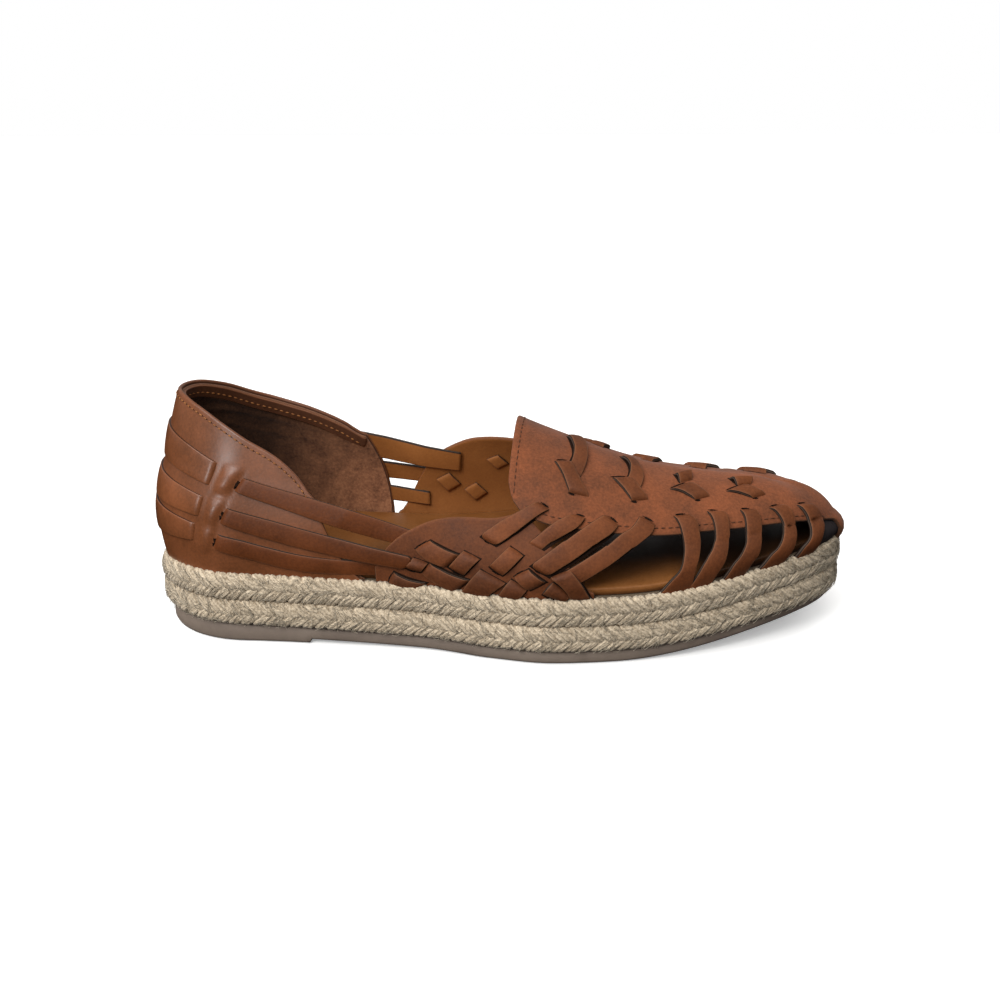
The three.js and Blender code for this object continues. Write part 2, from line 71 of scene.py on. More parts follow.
# Section of a strip: share across, offset inwards in millimetres, share of the thickness, share of the
# crown, how much of the cut edge shows and how much of the flesh side
STRIP_RIM = (
    (0, 0.5, 0, 0, 0.02, 1),
    (0, 0.1, 0.05, 0, 0.45, 0.5),
    (0, 0, 0.2, 0, 0.7, 0),
    (0, 0, 0.5, 0, 1, 0),
    (0, 0, 0.8, 0, 0.7, 0),
    (0, 0.13, 0.94, 0, 0.2, 0),
    (0, 0.45, 1, 0, 0.05, 0),
)
STRIP_TOP = ((0.25, 0, 1, 0.75, 0, 0), (0.5, 0, 1, 1, 0, 0), (0.75, 0, 1, 0.75, 0, 0))
STRIP_UNDERSIDE = (0.5, 0, 0, 0, 0, 1)


class Side(Enum):
    """Side of the foot, as the sign of the angle round the sole."""

    OUTER = 1
    INNER = -1


class Finish(Enum):
    """Material slots of the record."""

    UPPER = "upper_leather"
    INSOLE = "insole_leather"
    JUTE = "jute"
    OUTSOLE = "outsole_rubber"


def linear(code: str) -> tuple[float, float, float, float]:
    """Turn an sRGB hex colour into linear RGBA.

    Args:
        code: six hex digits after a hash sign.

    Returns:
        Linear red, green, blue and an alpha of 1.
    """
    parts = [int(code[i : i + 2], 16) / 255 for i in (1, 3, 5)]
    red, green, blue = [c / 12.92 if c <= 0.04045 else ((c + 0.055) / 1.055) ** 2.4 for c in parts]
    return red, green, blue, 1.0


def per_metre(size_mm: float) -> float:
    """Scale of a texture on metres whose features are size_mm wide."""
    return 1000 / size_mm


def add_node(tree: bpy.types.NodeTree, kind: str, inputs: dict[Any, Any], **settings: Any) -> bpy.types.Node:
    """Add a node, set its properties, and set or link its inputs.

    Args:
        tree: tree that gets the node.
        kind: type name of the node.
        inputs: values, output sockets, or nodes whose first output is meant, by input name or index.
        **settings: properties of the node.

    Returns:
        The new node.
    """
    node = tree.nodes.new(kind)
    for key, value in settings.items():
        setattr(node, key, value)
    for key, value in inputs.items():
        if isinstance(value, bpy.types.Node):
            value = value.outputs[0]
        if isinstance(value, bpy.types.NodeSocket):
            tree.links.new(value, node.inputs[key])
        else:
            node.inputs[key].default_value = value
    return node


def new_material(name: str) -> tuple[bpy.types.Material, bpy.types.NodeTree, bpy.types.Node]:
    """Make an empty material.

    Args:
        name: name of the material.

    Returns:
        The material, its tree and its Principled shader.
    """
    material = bpy.data.materials.new(name)
    material.use_nodes = True
    return material, material.node_tree, material.node_tree.nodes["Principled BSDF"]


class SmoothColumn:
    """A curve through one column of a table, level at both ends, that never swings past its rows."""

    def __init__(self, rows: Rows, column: int = 1) -> None:
        """Work out the slope at each row.

        Args:
            rows: rows of a table whose first column is the station.
            column: column that the curve follows.
        """
        table = np.array(rows, float)
        self.stations, self.values = table[:, 0], table[:, column]
        gap = np.diff(self.stations)
        chord = np.diff(self.values) / gap
        before, after = 2 * gap[1:] + gap[:-1], gap[1:] + 2 * gap[:-1]
        same = chord[:-1] * chord[1:] > 0
        safe = [np.where(same, c, 1.0) for c in (chord[:-1], chord[1:])]
        inner = np.where(same, (before + after) / (before / safe[0] + after / safe[1]), 0.0)
        self.slope = np.concatenate([[0.0], inner, [0.0]])

    def __call__(self, at: Array | float) -> Array:
        """Value of the curve.

        Args:
            at: stations, held to the ends of the table.

        Returns:
            One value for each station.
        """
        place = np.clip(at, self.stations[0], self.stations[-1])
        before = np.searchsorted(self.stations, place, side="right") - 1
        before = np.clip(before, 0, len(self.stations) - 2)
        after = before + 1
        span = self.stations[after] - self.stations[before]
        share = (place - self.stations[before]) / span
        rest = 1 - share
        start = self.values[before] * (1 + 2 * share) + self.slope[before] * span * share
        end = self.values[after] * (3 - 2 * share) - self.slope[after] * span * rest
        return start * rest**2 + end * share**2


@dataclass(frozen=True)
class SoleSide:
    """Half widths of one side of the sole by station, and the curve from the ball to the tip."""

    rows: Rows
    taper: float
    roundness: float

    @cached_property
    def column(self) -> SmoothColumn:
        """Curve through the half widths."""
        return SmoothColumn(self.rows)

    def half(self, at: Array, length: float, heel: float) -> Array:
        """Half width of this side.

        Args:
            at: stations.
            length: length of the sole.
            heel: length of the elliptic heel.

        Returns:
            One half width for each station.
        """
        ball_at, ball = self.rows[-1]
        round_heel = self.rows[0][1] * np.sqrt(np.clip(1 - ((heel - at) / heel) ** 2, 0, 1))
        share = np.clip((at - ball_at) / (length - ball_at), 0, 1)
        toe = ball * (1 - share**self.taper) ** (1 / self.roundness)
        return np.where(at < heel, round_heel, np.where(at < ball_at, self.column(at), toe))


def ease(share: Array) -> Array:
    """Smooth step from 0 to 1, flat at both ends."""
    share = np.clip(share, 0, 1)
    return share**2 * (3 - 2 * share)


@dataclass(frozen=True)
class Last:
    """The foot form that the leather lies on, and the outline and heights of the sole."""

    length: float = 260.0
    heel_round: float = 38.0
    tip_drift: float = 1.7
    tip_drift_from: float = 150.0
    braid_height: float = 10.2
    forefoot_outsole: float = 5.0
    toe_outsole: float = 3.0
    heel_rise: float = 3.0
    heel_rise_end: float = 125.0
    toe_spring: float = 8.6
    toe_spring_from: float = 176.0
    seam: float = 0.3
    bulge_share: float = 0.42
    # Rises across the ridge where the inner flank starts to sink, is lowest, comes back and ends
    sink_span: tuple[float, float, float, float] = (0.84, 1.2, 1.3, 1.75)
    step: float = 0.002
    outer: SoleSide = SoleSide(((38, 35), (70, 36.3), (105, 39), (130, 45), (150, 48)), 1.57, 1.86)
    inner: SoleSide = SoleSide(((38, 34.5), (70, 33.5), (100, 33.5), (135, 40.5), (168, 46.5)), 1.7, 1.75)
    # Station, and the wall's inset, fullness and bulge
    wall_rows: Rows = (
        (0, 3.4, 1.75, 2.0),
        (20, 3.9, 1.76, 1.6),
        (60, 4, 1.8, 1.1),
        (120, 4, 1.98, 1.0),
        (200, 4, 2.28, 1.2),
        (245, 3, 2.1, 1.8),
        (260, 2, 1.8, 2.0),
    )
    # Station, and the ridge's height, its drift to the inner side and the sink of its inner flank
    ridge_rows: Rows = (
        (34, 88, 0, 0),
        (70, 82, 1, 0),
        (105, 68, 2.2, 0),
        (137, 52, 3.5, 2.4),
        (157, 44.5, 3.3, 3.6),
        (183, 36, 2.7, 4.6),
        (206, 29.6, 2.2, 3.8),
        (222, 25, 1.8, 1.8),
        (236, 20.1, 1.5, 0),
    )

    @cached_property
    def wall(self) -> list[SmoothColumn]:
        """Curves of the wall's inset, fullness and bulge."""
        return [SmoothColumn(self.wall_rows, c) for c in (1, 2, 3)]

    @cached_property
    def ridge(self) -> list[SmoothColumn]:
        """Curves of the ridge's height, its drift and how far its inner flank sinks."""
        return [SmoothColumn(self.ridge_rows, c) for c in (1, 2, 3)]

    @cached_property
    def middle(self) -> Array:
        """The place of the part's origin, found from the jute's box.

        Returns:
            Millimetres from the back of the heel, from the middle line and from the floor.
        """
        low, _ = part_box("jute_braid_upper")
        edge = self.outline(np.linspace(0, math.pi, 721), 0)[:, 1].min()
        return np.array([-low.x / MILLIMETRE, edge - low.y / MILLIMETRE, 0.0])

    def to_frame(self, points: Array) -> Array:
        """Millimetres along the sole as metres in the part's frame."""
        return (points - self.middle) * MILLIMETRE

    def station(self, angle: Array) -> Array:
        """Station of an angle round the sole, 0 at the back and pi at the tip."""
        return self.length * (1 - np.cos(angle)) / 2

    def angle(self, at: Array | float) -> Array:
        """Angle of a station on the outer side."""
        return np.arccos(np.clip(1 - 2 * np.asarray(at, float) / self.length, -1, 1))

    def sole_point(self, angle: Array) -> Array:
        """Point of the sole's outline.

        Args:
            angle: signed angles round the sole.

        Returns:
            Points in plan.
        """
        at = self.station(angle)
        outer = -self.outer.half(at, self.length, self.heel_round)
        inner = self.inner.half(at, self.length, self.heel_round)
        drift = np.clip((at - self.tip_drift_from) / (self.length - self.tip_drift_from), 0, None)
        return np.stack([at, np.where(np.sin(angle) >= 0, outer, inner) + self.tip_drift * drift**2], -1)

    def outline(self, angle: Array, inset: Array | float) -> Array:
        """Outline of the sole moved inwards.

        Args:
            angle: angles round the sole.
            inset: distance inwards.

        Returns:
            Points in plan.
        """
        along = self.sole_point(angle + self.step) - self.sole_point(angle - self.step)
        along /= np.linalg.norm(along, axis=-1, keepdims=True)
        inwards = np.stack([-along[..., 1], along[..., 0]], -1)
        return self.sole_point(angle) + inwards * np.asarray(inset, float)[..., None]

    def jute_bottom(self, at: Array) -> Array:
        """Height of the underside of the jute.

        Args:
            at: stations.

        Returns:
            One height for each station.
        """
        heel = self.heel_rise * np.clip(1 - at / self.heel_rise_end, 0, None)
        toe = np.clip((at - self.toe_spring_from) / (self.length - self.toe_spring_from), 0, 1)
        return self.forefoot_outsole + heel + self.toe_spring * (1 - np.cos(np.pi * toe)) / 2

    def wall_foot(self, at: Array) -> Array:
        """Height of the foot of the leather wall."""
        return self.jute_bottom(at) + 2 * self.braid_height + self.seam

    def point(self, angle: Array, rise: Array) -> Array:
        """Place on the last; a rise over 1 comes down on the other side of the ridge.

        Args:
            angle: signed angles round the sole.
            rise: rises up the wall.

        Returns:
            Points in millimetres.
        """
        angle, rise = np.broadcast_arrays(np.asarray(angle, float), np.asarray(rise, float))
        over = rise > 1
        angle, rise = np.where(over, -angle, angle), np.where(over, 2 - rise, rise)
        at = self.station(angle)
        inset, power, bulge = (column(at) for column in self.wall)
        foot = self.outline(angle, inset)
        first, last = self.ridge_rows[0][0], self.ridge_rows[-1][0]
        ridge_at = first + (last - first) * at / self.length
        height, drift, sink = (column(ridge_at) for column in self.ridge)
        ridge = np.stack([ridge_at, drift], -1)
        cos, sin = np.cos(rise * np.pi / 2), np.sin(rise * np.pi / 2)
        size = (np.abs(cos) ** power + np.abs(sin) ** power) ** (1 / power)
        inward, upward = 1 - cos / size, sin / size
        swell = bulge * np.sin(np.pi * np.clip(upward / self.bulge_share, -0.5, 1))
        share = inward - swell / np.linalg.norm(foot - ridge, axis=-1)
        plan = foot + (ridge - foot) * share[..., None]
        low, high = self.wall_foot(foot[..., 0]), self.wall_foot(ridge_at)
        across = np.where(angle < 0, 2 - rise, rise)
        start, full, fade, end = self.sink_span
        sunk = ease((across - start) / (full - start)) * ease((end - across) / (end - fade))
        up = low + (high - low) * inward + upward * height - sink * sunk
        return np.concatenate([plan, up[..., None]], -1)

    def normal(self, angle: Array, rise: Array) -> Array:
        """Outward normal of the last.

        Args:
            angle: signed angles round the sole.
            rise: rises up the wall.

        Returns:
            Unit vectors.
        """
        rise = np.maximum(rise, self.step)
        along = self.point(angle + self.step, rise) - self.point(angle - self.step, rise)
        up = self.point(angle, rise + self.step) - self.point(angle, rise - self.step)
        normal = np.cross(along, up)
        return normal / np.linalg.norm(normal, axis=-1, keepdims=True)

    def lifted(self, angle: Array, rise: Array, lift: Array | float) -> Array:
        """Place at a distance outside the last."""
        angle, rise, lift = np.broadcast_arrays(angle, rise, lift)
        return self.point(angle, rise) + self.normal(angle, rise) * lift[..., None]


LAST = Last()


class Maker:
    """Collects closed bodies of one piece and turns them into an object."""

    def __init__(self, name: str) -> None:
        """Start an empty piece.

        Args:
            name: name of the piece.
        """
        self.name = name
        self.points: list[Array] = []
        self.faces: list[tuple[int, ...]] = []
        self.layers: dict[str, list[Array]] = {"edge": [], "inside": [], "tone": []}
        self.count = 0
        self.random = np.random.default_rng(SEED + sum(map(ord, name)))

    def add(
        self,
        points: Array,
        faces: Iterable[Sequence[int]],
        edge: Array,
        inside: Array,
        tone: Array | None = None,
    ) -> None:
        """Add one closed body.

        Args:
            points: vertices in millimetres.
            faces: vertex numbers of each face.
            edge: how much of a cut edge each vertex shows, 0 to 1.
            inside: how much of the flesh side each vertex shows, 0 to 1.
            tone: how light each vertex is, 0 to 1, or None for one random value.
        """
        self.points.append(LAST.to_frame(points))
        self.faces += [tuple(int(corner) + self.count for corner in face) for face in faces]
        tone = np.array(self.random.random()) if tone is None else tone
        for key, values in (("edge", edge), ("inside", inside), ("tone", tone)):
            self.layers[key].append(np.broadcast_to(values, len(points)))
        self.count += len(points)

    def build(self, material: bpy.types.Material) -> bpy.types.Object:
        """Make the object, with doubles merged, faces outwards and smooth shading.

        Args:
            material: finish of the piece.

        Returns:
            The new object, linked to the scene.
        """
        mesh = bpy.data.meshes.new(self.name)
        mesh.from_pydata(np.concatenate(self.points).tolist(), [], self.faces)
        for key, values in self.layers.items():
            layer = mesh.attributes.new(key, "FLOAT", "POINT")
            layer.data.foreach_set("value", np.concatenate(values).astype(np.float32))
        work = bmesh.new()
        work.from_mesh(mesh)
        bmesh.ops.remove_doubles(work, verts=work.verts, dist=1e-6)
        bmesh.ops.dissolve_degenerate(work, edges=work.edges, dist=1e-7)
        bmesh.ops.recalc_face_normals(work, faces=work.faces)
        work.to_mesh(mesh)
        work.free()
        mesh.polygons.foreach_set("use_smooth", [True] * len(mesh.polygons))
        mesh.materials.append(material)
        piece = bpy.data.objects.new(self.name, mesh)
        bpy.context.scene.collection.objects.link(piece)
        return piece


def finish_piece(piece: bpy.types.Object, slot: Finish, *nodes: str) -> bpy.types.Object:
    """Let a piece ride with the shoe and stand for its solids.

    Args:
        piece: finished object.
        slot: material slot of the record; not used.
        *nodes: solids that the piece stands for.

    Returns:
        The same object.
    """
    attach(piece, "root")
    if nodes:
        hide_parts(*nodes)
    triangles = sum(len(face.vertices) - 2 for face in piece.data.polygons)
    LOG.info("%s: %d triangles", piece.name, triangles)
    return piece


def smooth_path(knots: Array, fine: int = 16) -> Array:
    """A Catmull-Rom curve through knots.

    Args:
        knots: rows of coordinates.
        fine: points between two knots.

    Returns:
        Points along the curve.
    """
    knots = np.asarray(knots, float)
    ends = np.concatenate([[2 * knots[0] - knots[1]], knots, [2 * knots[-1] - knots[-2]]])
    share = np.linspace(0, 1, fine, endpoint=False)[:, None]
    spans = []
    for before, start, end, after in zip(ends, ends[1:], ends[2:], ends[3:]):
        bend = 2 * before - 5 * start + 4 * end - after
        twist = 3 * start - before - 3 * end + after
        spans.append(start + 0.5 * ((end - before) * share + bend * share**2 + twist * share**3))
    return np.concatenate([*spans, knots[-1:]])


def as_rows(angle: Array, rise: Array) -> Rows:
    """Rows of a strip's edge, with stations below 0 on the inner side."""
    return tuple(zip((np.sign(angle) * LAST.station(angle)).tolist(), rise.tolist()))


@dataclass(frozen=True)
class Strip:
    """A flat leather strip between two edges, given as rows of station and rise.

    A station below 0 is on the other side of the heel. Lifts are heights of the underside over the
    last, spread evenly along the strip. An end may dip into a slit, where it gets thin, or be rounded.
    """

    one: Rows
    two: Rows
    lifts: tuple[float, ...]
    thickness: float = 1.6
    side: Side = Side.OUTER
    dips: tuple[float, float] = (0.0, 0.0)
    rounds: tuple[float, float] = (0.0, 0.0)
    crown: float = 0.15
    pitch: float = 1.0
    cut: float = 1.0
    dip_length: float = 2.2
    dip_thinning: float = 0.6
    blunt_end: float = 0.45
    fewest: int = 7
    tone: float | None = None

    def follow(self, rows: Rows, count: int = 0) -> Array:
        """Evenly spaced angles and rises along one edge.

        Args:
            rows: stations and rises of the edge.
            count: number of points, or 0 for one at each pitch.

        Returns:
            One row for each point.
        """
        table = np.array(rows, float)
        angle = self.side.value * np.sign(table[:, 0]) * LAST.angle(np.abs(table[:, 0]))
        path = smooth_path(np.stack([angle, table[:, 1]], 1))
        legs = np.linalg.norm(np.diff(LAST.point(path[:, 0], path[:, 1]), axis=0), axis=1)
        far = np.concatenate([[0], np.cumsum(legs)])
        place = np.linspace(0, far[-1], count or max(self.fewest, int(far[-1] / self.pitch) + 1))
        return np.stack([np.interp(place, far, column) for column in path.T], 1)

    @cached_property
    def edges(self) -> tuple[Array, Array]:
        """Both edges with the same number of points."""
        count = max(len(self.follow(self.one)), len(self.follow(self.two)))
        return self.follow(self.one, count), self.follow(self.two, count)

    def add_to(self, maker: Maker) -> None:
        """Add the strip's closed body to a piece.

        Args:
            maker: piece that gets the strip.
        """
        one, two = self.edges
        middle = LAST.point(*((one + two) / 2).T)
        width = np.linalg.norm(LAST.point(*one.T) - LAST.point(*two.T), axis=1)
        far = np.concatenate([[0], np.cumsum(np.linalg.norm(np.diff(middle, axis=0), axis=1))])
        lift = np.interp(far / far[-1], np.linspace(0, 1, len(self.lifts)), self.lifts)
        thick, squeeze = np.full(len(one), self.thickness), np.ones(len(one))
        for dip, radius, gap in zip(self.dips, self.rounds, (far, far[-1] - far)):
            near = np.clip(1 - gap / self.dip_length, 0, 1) ** 2
            lift = lift - dip * near
            thick = thick * (1 - (self.dip_thinning * near if dip else 0))
            if radius:
                bow = np.sqrt(1 - np.clip(1 - gap / radius, 0, 1) ** 2)
                squeeze = squeeze * np.maximum(self.blunt_end, bow)
        far_rim = [(1 - share, -offset, *rest) for share, offset, *rest in reversed(STRIP_RIM)]
        ring = np.array([*STRIP_RIM, *STRIP_TOP, *far_rim, STRIP_UNDERSIDE])
        across = 0.5 + (ring[:, 0] + ring[:, 1] / width[:, None] - 0.5) * squeeze[:, None]
        place = one[:, None] + (two - one)[:, None] * across[..., None]
        high = lift[:, None] + ring[:, 2] * thick[:, None] + ring[:, 3] * self.crown
        points = LAST.lifted(place[..., 0], place[..., 1], high)
        grid = np.arange(across.size).reshape(across.shape)
        beside = np.roll(grid, -1, axis=1)
        faces = np.stack([grid[:-1], grid[1:], beside[1:], beside[:-1]], -1).reshape(-1, 4).tolist()
        faces += [grid[0].tolist(), grid[-1][::-1].tolist()]
        tone = None if self.tone is None else np.array(self.tone)
        edge, inside = np.tile(ring[:, 4] * self.cut, len(one)), np.tile(ring[:, 5], len(one))
        maker.add(points.reshape(-1, 3), faces, edge, inside, tone)

    def slit(
        self,
        end: int,
        over: float,
        reach: float = 0.35,
        width: float = 0.45,
        span: tuple[float, float] = (0, 1),
    ) -> "Strip":
        """The dark slit that one end of the strip goes into: a thin dark sheet for the cut, with painted
        shade in it.

        Args:
            end: 0 for the first end, -1 for the last.
            over: height of the leather's face over the last at the slit.
            reach: how far the slit runs past each side of the strip.
            width: half width of the slit.
            span: shares of the end, from the first edge to the second, between which the slit runs.

        Returns:
            A thin strip across that end.
        """
        one, two = self.edges
        inner = 1 if end == 0 else -2
        left, right = (one[end] + (two[end] - one[end]) * share for share in span)
        middle, back = (one[end] + two[end]) / 2, (one[inner] + two[inner]) / 2
        spread = np.linalg.norm(LAST.point(*left) - LAST.point(*right))
        out = (middle - back) / np.linalg.norm(LAST.point(*middle) - LAST.point(*back))
        past = (right - left) * reach / spread
        rows = []
        for sign in (-1, 1):
            bow = (left + right) / 2 + sign * width * out
            rows.append(as_rows(*np.array([left - past, bow, right + past]).T))
        return Strip(rows[0], rows[1], (over - SLIT_DEPTH,), SLIT_THICKNESS, crown=0)

    def gap(self, over: float, past_one: float, past_two: float) -> "Strip":
        """A thin dark sheet beside the strip: painted shadow in the gap there.

        Args:
            over: height of the leather's face over the last at the gap.
            past_one: how far the gap runs past the first edge.
            past_two: how far the gap runs past the second edge.

        Returns:
            A thin strip under this one.
        """
        one, two = self.edges
        width = np.linalg.norm(LAST.point(*one.T) - LAST.point(*two.T), axis=1)[:, None]
        rows = []
        for edge in (one + (one - two) * past_one / width, two + (two - one) * past_two / width):
            few = edge[np.linspace(0, len(edge) - 1, 4).astype(int)]
            rows.append(as_rows(*few.T))
        return Strip(rows[0], rows[1], (over - SLIT_DEPTH,), SLIT_THICKNESS, crown=0)


def edge_spaced(count: int, near: float = 0.012) -> Array:
    """Even shares from 0 to 1 with a close row next to each end.

    Args:
        count: number of even shares.
        near: share of the close rows.

    Returns:
        Rising shares.
    """
    return np.unique(np.concatenate([np.linspace(0, 1, count), [near, 1 - near]]))


def add_sheet(
    maker: Maker,
    angle: Array,
    rise: Array,
    outer: Array | float,
    inner: Array | float,
    cut: tuple[float, ...],
    tone: Array | None = None,
) -> None:
    """Add a leather panel between two skins with rounded rims.

    Args:
        maker: piece that gets the panel.
        angle: angles over a grid.
        rise: rises over the same grid.
        outer: lift of the outer skin.
        inner: lift of the inner skin.
        cut: cut edge shown on the rims of the first column, last column, first row and last row;
            with three, the last row folds onto itself and has no rim.
        tone: how light the panel is over the grid, or None for one random value.
    """
    rows, cols = angle.shape
    top, under = (LAST.lifted(angle, rise, lift).reshape(-1, 3) for lift in (outer, inner))
    points, flesh = [top, under], [np.zeros(rows * cols), np.ones(rows * cols)]
    edge = [np.zeros(rows * cols), np.zeros(rows * cols)]
    shade = [] if tone is None else [tone.ravel(), tone.ravel()]
    grid = np.arange(rows * cols).reshape(rows, cols)
    quads = np.stack([grid[:-1, :-1], grid[1:, :-1], grid[1:, 1:], grid[:-1, 1:]], -1).reshape(-1, 4)
    faces = quads.tolist() + (quads[:, [0, 3, 2, 1]] + rows * cols).tolist()
    start, corners = 2 * rows * cols, {}
    for side, dark in zip((grid.T, grid.T[::-1], grid, grid[::-1]), cut):
        border, next_in = side[0], side[1]
        middle, half = (top[border] + under[border]) / 2, (top[border] - under[border]) / 2
        out = top[border] - top[next_in] + under[border] - under[next_in]
        reach = np.linalg.norm(half, axis=1) / np.maximum(np.linalg.norm(out, axis=1), 1e-9)
        out *= RIM_REACH * reach[:, None]
        loops = [border]
        for turn in (math.pi / 4, math.pi / 2, 3 * math.pi / 4):
            points.append(middle + half * math.cos(turn) + out * math.sin(turn))
            edge.append(np.full(len(border), dark))
            flesh.append(np.zeros(len(border)))
            if tone is not None:
                shade.append(tone.ravel()[border])
            loops.append(np.arange(start, start + len(border)))
            start += len(border)
        loops.append(border + rows * cols)
        for above, below in zip(loops, loops[1:]):
            faces += np.stack([above[:-1], below[:-1], below[1:], above[1:]], -1).tolist()
        for end in (0, -1):
            corners.setdefault(int(border[end]), []).append([int(loop[end]) for loop in loops])
    for pair in corners.values():
        if len(pair) == 2:
            one, two = pair
            faces += [(one[0], one[1], two[1]), (one[-1], two[-2], one[-2])]
            faces += [(one[level], one[level + 1], two[level + 1], two[level]) for level in (1, 2)]
    shades = np.concatenate(shade) if shade else None
    maker.add(np.concatenate(points), faces, np.concatenate(edge), np.concatenate(flesh), shades)


def raised(height: Height, by: float, at: Array) -> Array:
    """Height of a surface that lies over another one."""
    return height(at) + by


def add_slab(
    maker: Maker, loops: Sequence[tuple[float, Height]], stations: Array, tone: Height | None = None
) -> None:
    """Add a slab of the sole from closed loops, bottom to top.

    Args:
        maker: piece that gets the slab.
        loops: pairs of an inset and a function from station to height.
        stations: stations of the facets from the back to the tip.
        tone: function from angle to how light the slab is, or None for one random value.
    """
    near = LAST.angle(stations)
    angle = np.concatenate([near, -near[-2:0:-1]])
    count = len(angle)
    points = []
    for inset, height in loops:
        plan = LAST.outline(angle, inset)
        points.append(np.concatenate([plan, height(plan[:, 0])[:, None]], 1))
    faces = []
    for level in range(len(loops) - 1):
        here = np.arange(count) + level * count
        beside = np.roll(here, -1)
        faces += np.stack([here, beside, beside + count, here + count], -1).tolist()
    top = (len(loops) - 1) * count
    for near_one in range(len(stations) - 1):
        far_one, far_two = (count - near_one) % count, (count - near_one - 1) % count
        bottom = [near_one, far_one, far_two, near_one + 1] if near_one else [0, far_two, 1]
        faces += [bottom, [top + corner for corner in (bottom[0], *bottom[:0:-1])]]
    faces = [face for face in faces if len(set(face)) > 2]
    shade = None if tone is None else np.tile(tone(angle), len(loops))
    maker.add(np.concatenate(points), faces, np.array(0.0), np.array(0.0), shade)


class LineMaker:
    """Collects poly-lines with point attributes, for a Geometry Nodes tree to work on."""

    def __init__(self, name: str) -> None:
        """Start with no lines.

        Args:
            name: name of the piece.
        """
        self.name = name
        self.points: list[Array] = []
        self.layers: dict[str, list[Array]] = {}
        self.edges: list[Array] = []
        self.count = 0

    def add(self, points: Array, **layers: Array) -> None:
        """Add one open line.

        Args:
            points: points in millimetres.
            **layers: one value or vector for each point.
        """
        run = np.arange(self.count, self.count + len(points))
        self.points.append(LAST.to_frame(points))
        self.edges.append(np.stack([run[:-1], run[1:]], 1))
        for key, values in layers.items():
            self.layers.setdefault(key, []).append(np.asarray(values, np.float32))
        self.count += len(points)

    def grow(self, tree: bpy.types.NodeTree, values: dict[str, Any]) -> bpy.types.Object:
        """Run a tree on the lines and keep its result as a plain mesh.

        Args:
            tree: Geometry Nodes tree with a geometry input and output.
            values: values of the tree's other inputs, by name.

        Returns:
            The new object, with no modifier.
        """
        mesh = bpy.data.meshes.new(self.name + "_lines")
        mesh.from_pydata(np.concatenate(self.points).tolist(), np.concatenate(self.edges).tolist(), [])
        for key, parts in self.layers.items():
            data = np.concatenate(parts)
            vector = data.ndim == 2
            layer = mesh.attributes.new(key, "FLOAT_VECTOR" if vector else "FLOAT", "POINT")
            layer.data.foreach_set("vector" if vector else "value", data.ravel())
        carrier = bpy.data.objects.new(self.name + "_lines", mesh)
        bpy.context.scene.collection.objects.link(carrier)
        modifier = carrier.modifiers.new("grow", "NODES")
        modifier.node_group = tree
        for item in tree.interface.items_tree:
            if item.item_type == "SOCKET" and item.in_out == "INPUT" and item.name in values:
                modifier[item.identifier] = values[item.name]
        graph = bpy.context.evaluated_depsgraph_get()
        made = bpy.data.meshes.new_from_object(carrier.evaluated_get(graph))
        made.name = self.name
        piece = bpy.data.objects.new(self.name, made)
        bpy.context.scene.collection.objects.link(piece)
        bpy.data.objects.remove(carrier)
        made.polygons.foreach_set("use_smooth", [True] * len(made.polygons))
        return piece


def new_tree(
    name: str, inputs: Sequence[tuple[str, str]]
) -> tuple[bpy.types.NodeTree, bpy.types.Node, bpy.types.Node]:
    """Start a Geometry Nodes tree.

    Args:
        name: name of the tree.
        inputs: name and socket type of each input between the geometry and the material.

    Returns:
        The tree, its input node and its output node.
    """
    tree = bpy.data.node_groups.new(name, "GeometryNodeTree")
    tree.interface.new_socket("Geometry", in_out="INPUT", socket_type="NodeSocketGeometry")
    for label, kind in (*inputs, ("Material", "NodeSocketMaterial")):
        tree.interface.new_socket(label, in_out="INPUT", socket_type=kind)
    tree.interface.new_socket("Geometry", in_out="OUTPUT", socket_type="NodeSocketGeometry")
    return tree, tree.nodes.new("NodeGroupInput"), tree.nodes.new("NodeGroupOutput")


def stitch_tree() -> bpy.types.NodeTree:
    """Tree that lays thread stitches along lines, flat on the leather.

    Returns:
        The tree, with inputs for pitch, length, thickness and material.
    """
    sizes = [(label, "NodeSocketFloat") for label in ("Pitch", "Length", "Thickness")]
    tree, source, result = new_tree("stitch_row", sizes)
    add, given = partial(add_node, tree), source.outputs
    curve = add("GeometryNodeMeshToCurve", {"Mesh": given["Geometry"]})
    even = add("GeometryNodeResampleCurve", {"Curve": curve, "Length": given["Pitch"]}, mode="LENGTH")
    bead = add("GeometryNodeMeshUVSphere", {"Segments": 6, "Rings": 5, "Radius": 0.5})
    up = add("GeometryNodeInputNamedAttribute", {"Name": "up"}, data_type="FLOAT_VECTOR")
    tangent = add("GeometryNodeInputTangent", {})
    along = add("FunctionNodeAlignRotationToVector", {"Vector": tangent}, axis="X")
    lean = {"Rotation": along, "Vector": up}
    flat = add("FunctionNodeAlignRotationToVector", lean, axis="Z", pivot_axis="X")
    thick = given["Thickness"]
    size = add("ShaderNodeCombineXYZ", {"X": given["Length"], "Y": thick, "Z": thick})
    places = {"Points": even, "Instance": bead, "Rotation": flat, "Scale": size}
    laid = add("GeometryNodeInstanceOnPoints", places)
    real = add("GeometryNodeRealizeInstances", {"Geometry": laid})
    dressed = add("GeometryNodeSetMaterial", {"Geometry": real, "Material": given["Material"]})
    tree.links.new(dressed.outputs[0], result.inputs[0])
    return tree


